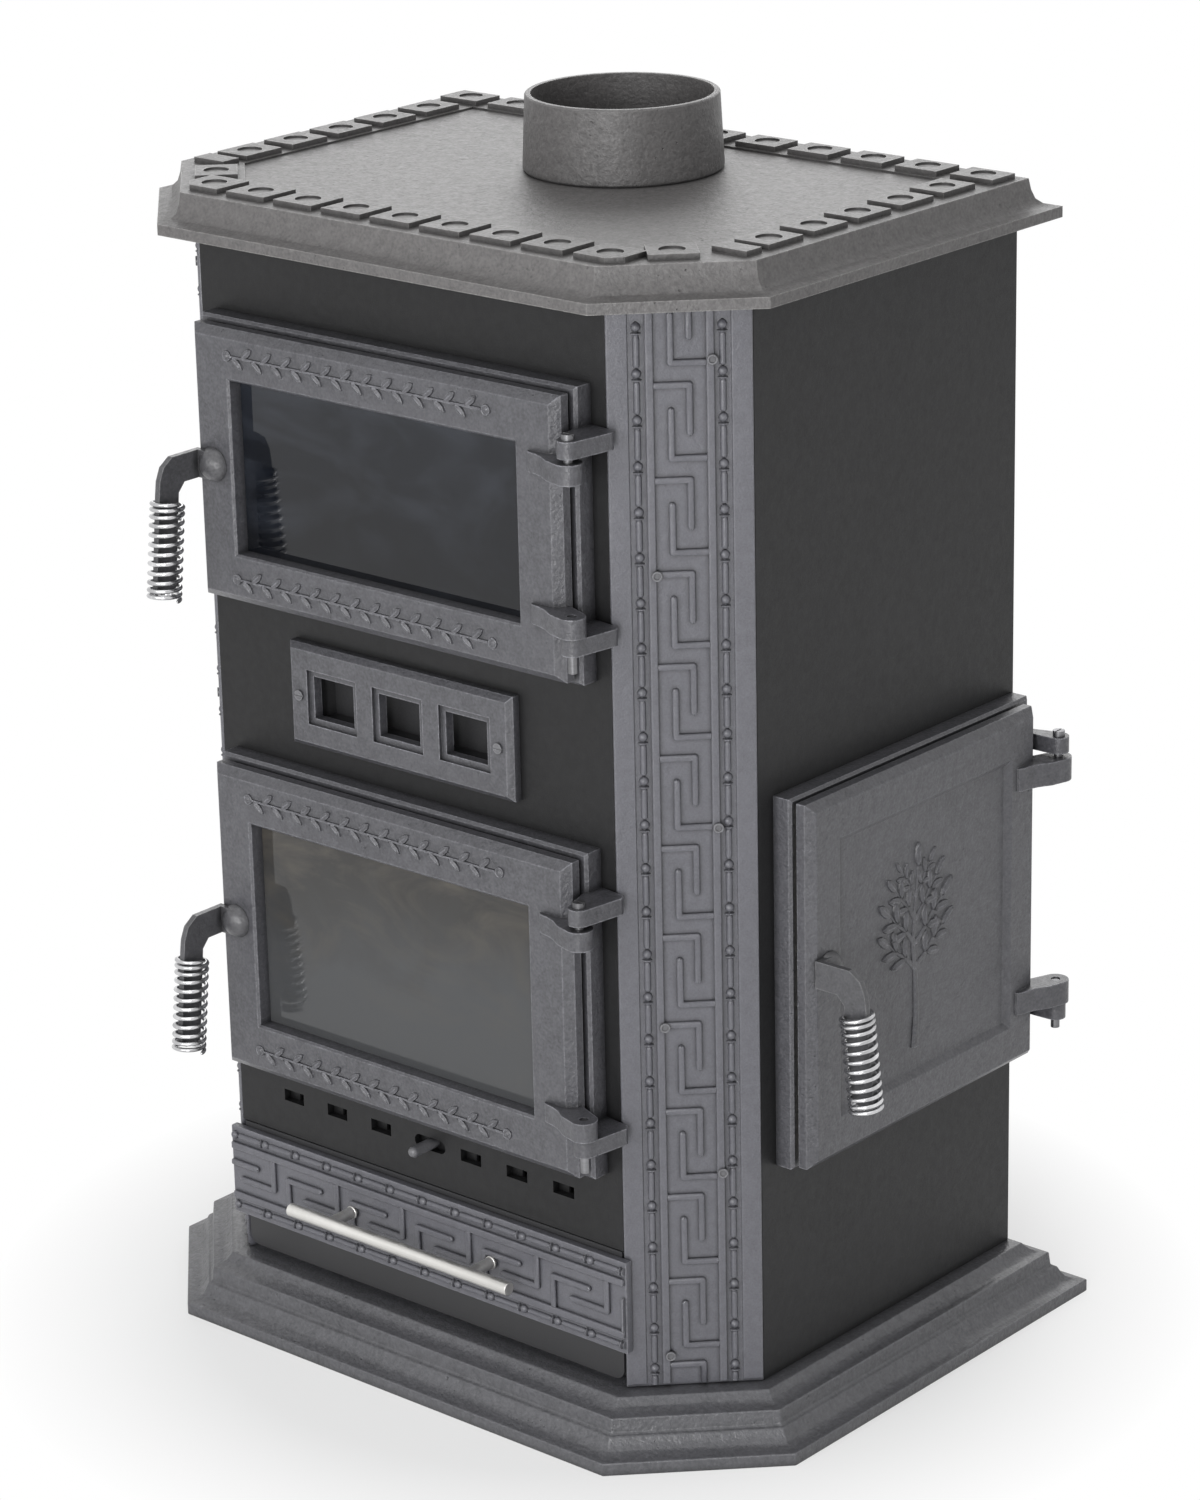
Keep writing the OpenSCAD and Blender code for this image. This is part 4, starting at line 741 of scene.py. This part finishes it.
# Nodes that show as the CAD made them, and their finishes.
plain_nodes = {
    "corner_bars": "inside", "collar_bolts": "screw", "vent_backplate": "sheet", "frame_bolts": "screw",
    "grate_frame": "inside", "fire_grate": "inside", "fire_brick_left": "brick", "fire_brick_back": "brick",
    "fire_brick_right": "brick", "flue_baffle": "inside", "oven_box": "inside", "oven_shelf": "bright",
    "drawer_runners": "sheet", "air_slide_guides": "sheet", "upper_glass_clips": "bright",
    "upper_rope_seal": "rope", "upper_latch": "bright", "lower_glass_clips": "bright",
    "lower_rope_seal": "rope", "lower_latch": "bright", "side_door_liner": "inside", "side_rope_seal": "rope",
    "side_latch": "bright", "air_slide": "panel", "ash_tray": "sheet",
}

for name, (finish, width) in cast_pieces.items():
    casting(name, finish, width)
for name, finish in plain_nodes.items():
    mesh = frame["nodes"][name].data
    mesh.materials.clear()
    mesh.materials.append(finishes[finish])


# ---------- key relief on the pilasters and the drawer ----------

FIELD_W, RAIL_W, BEAD_W, RELIEF = 34.5, 5.5, 11, 2.6
RIDGE, KEY_REACH, KEY_LEG, KEY_TURN = 4.6, 23.4, 36.9, 49.5
SUNK = 0.3  # how far a hook stands in its plate
BEAD_R = 2.75
FACE_W, DECK_TOP, WALL_TOP, PANEL_T = CORNER_LEG * math.sqrt(2), 43, 842, 6


def key_hook():
    """One hook of the key pattern: a rounded ridge from the rail, with a leg that turns down."""
    r = RIDGE / 2
    bpy.ops.object.select_all(action="DESELECT")
    bpy.ops.mesh.primitive_plane_add(size=RIDGE * MM, location=(KEY_REACH * MM, 0, 0))
    hook = bpy.context.object
    bpy.ops.object.transform_apply(location=True, rotation=True, scale=True)
    bpy.ops.object.mode_set(mode="EDIT")
    choose(hook, "EDGE", lambda p: p.x < KEY_REACH - r + 0.1)
    extrude(x=r - KEY_REACH - 0.5)
    choose(hook, "EDGE", lambda p: p.y < 0.1 - r and p.x > KEY_REACH - r)
    extrude(y=RIDGE - KEY_LEG)
    bpy.ops.mesh.select_all(action="SELECT")
    extrude(z=RELIEF + SUNK)
    choose(hook, "EDGE", lambda p: abs(p.z - (RELIEF + SUNK) / 2) < 0.1 and (
        (p.y < RIDGE - KEY_LEG) or (p.x > KEY_REACH and p.y > 0)))
    bpy.ops.mesh.bevel(offset=r * 0.98 * MM, segments=4, affect="EDGES")
    choose(hook, "FACE", lambda p: p.z > RELIEF + SUNK - 0.1)
    bpy.ops.mesh.region_to_loop()
    bpy.ops.mesh.bevel(offset=1.5 * MM, segments=3, affect="EDGES")
    finish_mesh()
    return hook


# A bead link's rings, each a radius in bead radii and a height in millimetres: the bar's foot from the last
# ball, and then the bar's end, the cup and the ball, back from the next ball.
BAR_FOOT = ((0.30, 3.6), (0.78, 4.6), (0.84, 6.0))
CUP_AND_BALL = ((0.84, -7.4), (0.72, -6.6), (0.62, -5.6), (1.26, -4.3), (1.22, -3.9), (0.40, -3.3),
                (0.76, -2.6), (1.06, -1.6), (1.20, -0.4), (1.18, 0.5), (1.02, 1.7), (0.70, 2.6), (0.3, 3.2),
                (0.28, 3.7))


def bead_link(pitch):
    """A half-round bar, then the cup and the ball that close it; the ball is at 0."""
    rings = BAR_FOOT + tuple((radius, pitch + height) for radius, height in CUP_AND_BALL)
    link = turned([(radius * BEAD_R, height) for radius, height in rings])
    apply_place(link, shift(y=-pitch) @ turn(-90, "X"))
    return link


def key_relief(y0, y1, key_pitch, first_key, bead_pitch, first_bead, band):
    """Rails, key pattern, two bead rows and outer bands on the bench, the field from x 0, cut at y0 and y1."""
    hook = key_hook()
    facing = shift(x=FIELD_W, y=-KEY_TURN) @ turn(180)
    pieces = []
    for k in range(math.ceil((first_key - y0) / key_pitch)):
        step = shift(y=first_key - k * key_pitch, z=-SUNK)
        pieces += [own_copy(hook, step), own_copy(hook, step @ facing)]
    link = bead_link(bead_pitch)
    for k in range(math.ceil((first_bead - y0) / bead_pitch) + 1):
        for x in (-RAIL_W - BEAD_W / 2, FIELD_W + RAIL_W + BEAD_W / 2):
            pieces.append(own_copy(link, shift(x=x, y=first_bead - k * bead_pitch)))
    discard(hook, link)
    relief = joined(pieces, "relief")
    cut_off(relief, y0, True)
    cut_off(relief, y1, False)
    band_in = RAIL_W + BEAD_W
    rails = [(-RAIL_W, 0, RELIEF), (FIELD_W, FIELD_W + RAIL_W, RELIEF)]
    if band > 0:
        rails.append((-band_in - band, -band_in, RELIEF / 2))
        rails.append((FIELD_W + band_in, FIELD_W + band_in + band, RELIEF / 2))
    for x, end, top in rails:
        rail = add_block(x, end, y0, y1, -1, top)
        round_edges(rail, 1.1, segments=3)
        relief = joined([relief, rail], "relief")
    smooth_shading(relief, 50)
    return relief


def make_pilasters():
    """Right pilaster on its mitred plate, and the left one as its mirror image."""
    plate = add_block(0, FACE_W, DECK_TOP, WALL_TOP, -PANEL_T, 0)
    bpy.ops.object.mode_set(mode="EDIT")
    choose(plate, "FACE", lambda p: p.z < 0.1 - PANEL_T)
    mitre = 1 - 2 * PANEL_T * math.tan(math.radians(22.5)) / FACE_W
    resize(mitre, 1, 1, about=(FACE_W / 2, 0, 0))
    bpy.ops.object.mode_set(mode="OBJECT")
    round_edges(plate, 0.8)
    field_in = (FACE_W - FIELD_W) / 2
    relief = key_relief(
        y0=DECK_TOP + 2, y1=819.8, key_pitch=64.3, first_key=766.6 + 64.3,
        bead_pitch=31.2, first_bead=806.2, band=field_in - RAIL_W - BEAD_W - 0.4)
    relief.data.transform(shift(x=field_in))
    right = joined([plate, relief], "right_pilaster_finished")
    apply_place(right, ON_CORNER)
    left = own_copy(right, Matrix.Scale(-1, 4, (1, 0, 0)))
    left.name = "left_pilaster_finished"
    edit(left)
    bpy.ops.mesh.flip_normals()
    bpy.ops.object.mode_set(mode="OBJECT")
    fasten(right, "stove", "pilaster", "right_pilaster")
    fasten(left, "stove", "pilaster", "left_pilaster")


def make_drawer_strip():
    """The same relief laid on its side along the drawer's cast strip."""
    width, foot, height, thick = 385, 73, 70.5, 9
    half = width / 2
    plate = add_block(-half, half, foot, foot + height, 0, thick - RELIEF)
    round_edges(plate, 1.2)
    relief = key_relief(
        y0=1.5 - half, y1=half - 1.5, key_pitch=64.9, first_key=175.5 + 64.9,
        bead_pitch=31.7, first_bead=160.6 + 31.7, band=0)
    middle = foot + height / 2 + FIELD_W / 2
    relief.data.transform(shift(y=middle, z=thick - RELIEF) @ turn(-90))
    strip = joined([plate, relief], "drawer_strip_finished")
    apply_place(strip, ON_FRONT)
    fasten(strip, "ash_drawer", "pilaster", "drawer_strip")


BAR_HEIGHT = 108.25


def make_drawer_bar():
    """Stainless bar with chamfered ends."""
    length, radius, out = 214, 5, 33
    bpy.ops.object.select_all(action="DESELECT")
    bpy.ops.mesh.primitive_cylinder_add(vertices=48, radius=radius * MM, depth=length * MM)
    bar = bpy.context.object
    bar.name = "drawer_bar_finished"
    apply_place(bar, turn(90, "Y"))
    bpy.ops.object.mode_set(mode="EDIT")
    choose(bar, "FACE", lambda p: abs(p.x) > length / 2 - 0.1)
    bpy.ops.mesh.region_to_loop()
    bpy.ops.mesh.bevel(offset=0.7 * MM, segments=3, affect="EDGES")
    bpy.ops.object.mode_set(mode="OBJECT")
    apply_place(bar, ON_FRONT @ shift(y=BAR_HEIGHT, z=out))
    smooth_shading(bar)
    fasten(bar, "ash_drawer", "stainless", "drawer_bar")


def make_drawer_posts():
    """Two turned posts between the strip and the bar, each with its stud and nut behind the strip."""
    pitch = 136
    pillar = turned([(4.9, 8.6), (4.9, 9.7), (4.6, 10.1), (4.25, 10.3), (4.25, 30.5)], 32)
    stud = turned([(3, -9), (3, 8.8)], 20)
    nut = turned([(5.6, -8), (5.6, -4)], 6)
    round_edges(nut, 0.4)
    post = joined([pillar, stud, nut], "post")
    posts = [own_copy(post, shift(x=side * pitch / 2, y=BAR_HEIGHT)) for side in (-1, 1)]
    discard(post)
    posts = joined(posts, "drawer_posts_finished")
    apply_place(posts, ON_FRONT)
    smooth_shading(posts)
    fasten(posts, "ash_drawer", "stainless", "drawer_posts")


make_pilasters()
make_drawer_strip()
make_drawer_bar()
make_drawer_posts()


WIRE_SWELL = 0.42  # millimetres; the smoothing takes a part of it off the wire again


def smooth_spring(node_name):
    """Handle spring wound from round wire, its curls smooth."""
    piece = merged_copy(node_name, node_name + "_finished")
    edit(piece)
    bpy.ops.mesh.tris_convert_to_quads(face_threshold=math.radians(70), shape_threshold=math.radians(70))
    bpy.ops.transform.shrink_fatten(value=WIRE_SWELL * MM)
    bpy.ops.object.mode_set(mode="OBJECT")
    smooth = piece.modifiers.new("round wire", "SUBSURF")
    smooth.levels = 2
    smooth.render_levels = 2
    bpy.ops.object.modifier_apply(modifier=smooth.name)
    bpy.ops.object.shade_smooth()
    fasten(piece, frame["nodes"][node_name]["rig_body"], "spring", node_name)


for name in ("upper_handle_spring", "lower_handle_spring", "side_handle_spring"):
    smooth_spring(name)

# ---------- stage and light ----------


def make_stage():
    """Pale floor that keeps the shadow and clears to white away from the object."""
    bpy.ops.object.select_all(action="DESELECT")
    bpy.ops.mesh.primitive_circle_add(vertices=96, radius=6, fill_type="NGON", location=(0, 0, 0))
    floor = bpy.context.object
    floor.name = "floor"
    pale = (0.93, 0.93, 0.93, 1)
    material, tree, shader = new_material("pale floor", Base_Color=pale, Roughness=0.9, Specular_IOR_Level=0.1)
    distance = node(tree, "VectorMath", {0: object_place(tree)}, operation="LENGTH").outputs["Value"]
    far = ramp(tree, distance, 0.30, 0.46, 0.55, 1.0)
    white = node(tree, "Emission", {"Color": (1, 1, 1, 1), "Strength": 1.0})
    mix = node(tree, "MixShader", {0: times(tree, far, directly_seen(tree))})
    tree.links.new(shader.outputs[0], mix.inputs[1])
    tree.links.new(white.outputs[0], mix.inputs[2])
    tree.links.new(mix.outputs[0], tree.nodes["Material Output"].inputs["Surface"])
    floor.data.materials.append(material)


def make_world():
    """White where it is seen or mirrored, and a softer grey as light."""
    world = bpy.data.worlds.new("studio")
    scene.world = world
    world.use_nodes = True
    tree = world.node_tree
    background = tree.nodes["Background"]
    background.inputs["Color"].default_value = (1, 1, 1, 1)
    strength = ramp(tree, directly_seen(tree), 0, 1, 0.20, 1.0)
    tree.links.new(strength, background.inputs["Strength"])


def make_lamp(name, azimuth, elevation, distance, size, power):
    """Soft rectangular lamp aimed at the middle of the stove, its power in watts."""
    aim = Vector((0, 0, 0.42))
    away = outward(math.radians(azimuth), math.radians(elevation))
    light = bpy.data.lights.new(name, "AREA")
    light.shape = "RECTANGLE"
    light.size, light.size_y = size
    light.energy = power
    lamp = bpy.data.objects.new(name, light)
    scene.collection.objects.link(lamp)
    lamp.location = aim + away * distance
    lamp.rotation_mode = "QUATERNION"
    lamp.rotation_quaternion = away.to_track_quat("Z", "Y")


make_camera()
make_stage()
make_world()
make_lamp("key", azimuth=0, elevation=18, distance=3.2, size=(1.6, 1.6), power=29)
make_lamp("corner", azimuth=30, elevation=4, distance=3.2, size=(0.7, 2.0), power=54)
make_lamp("top", azimuth=20, elevation=78, distance=2.6, size=(1.8, 1.8), power=12)
make_lamp("behind", azimuth=212, elevation=30, distance=3.6, size=(3.0, 2.2), power=40)
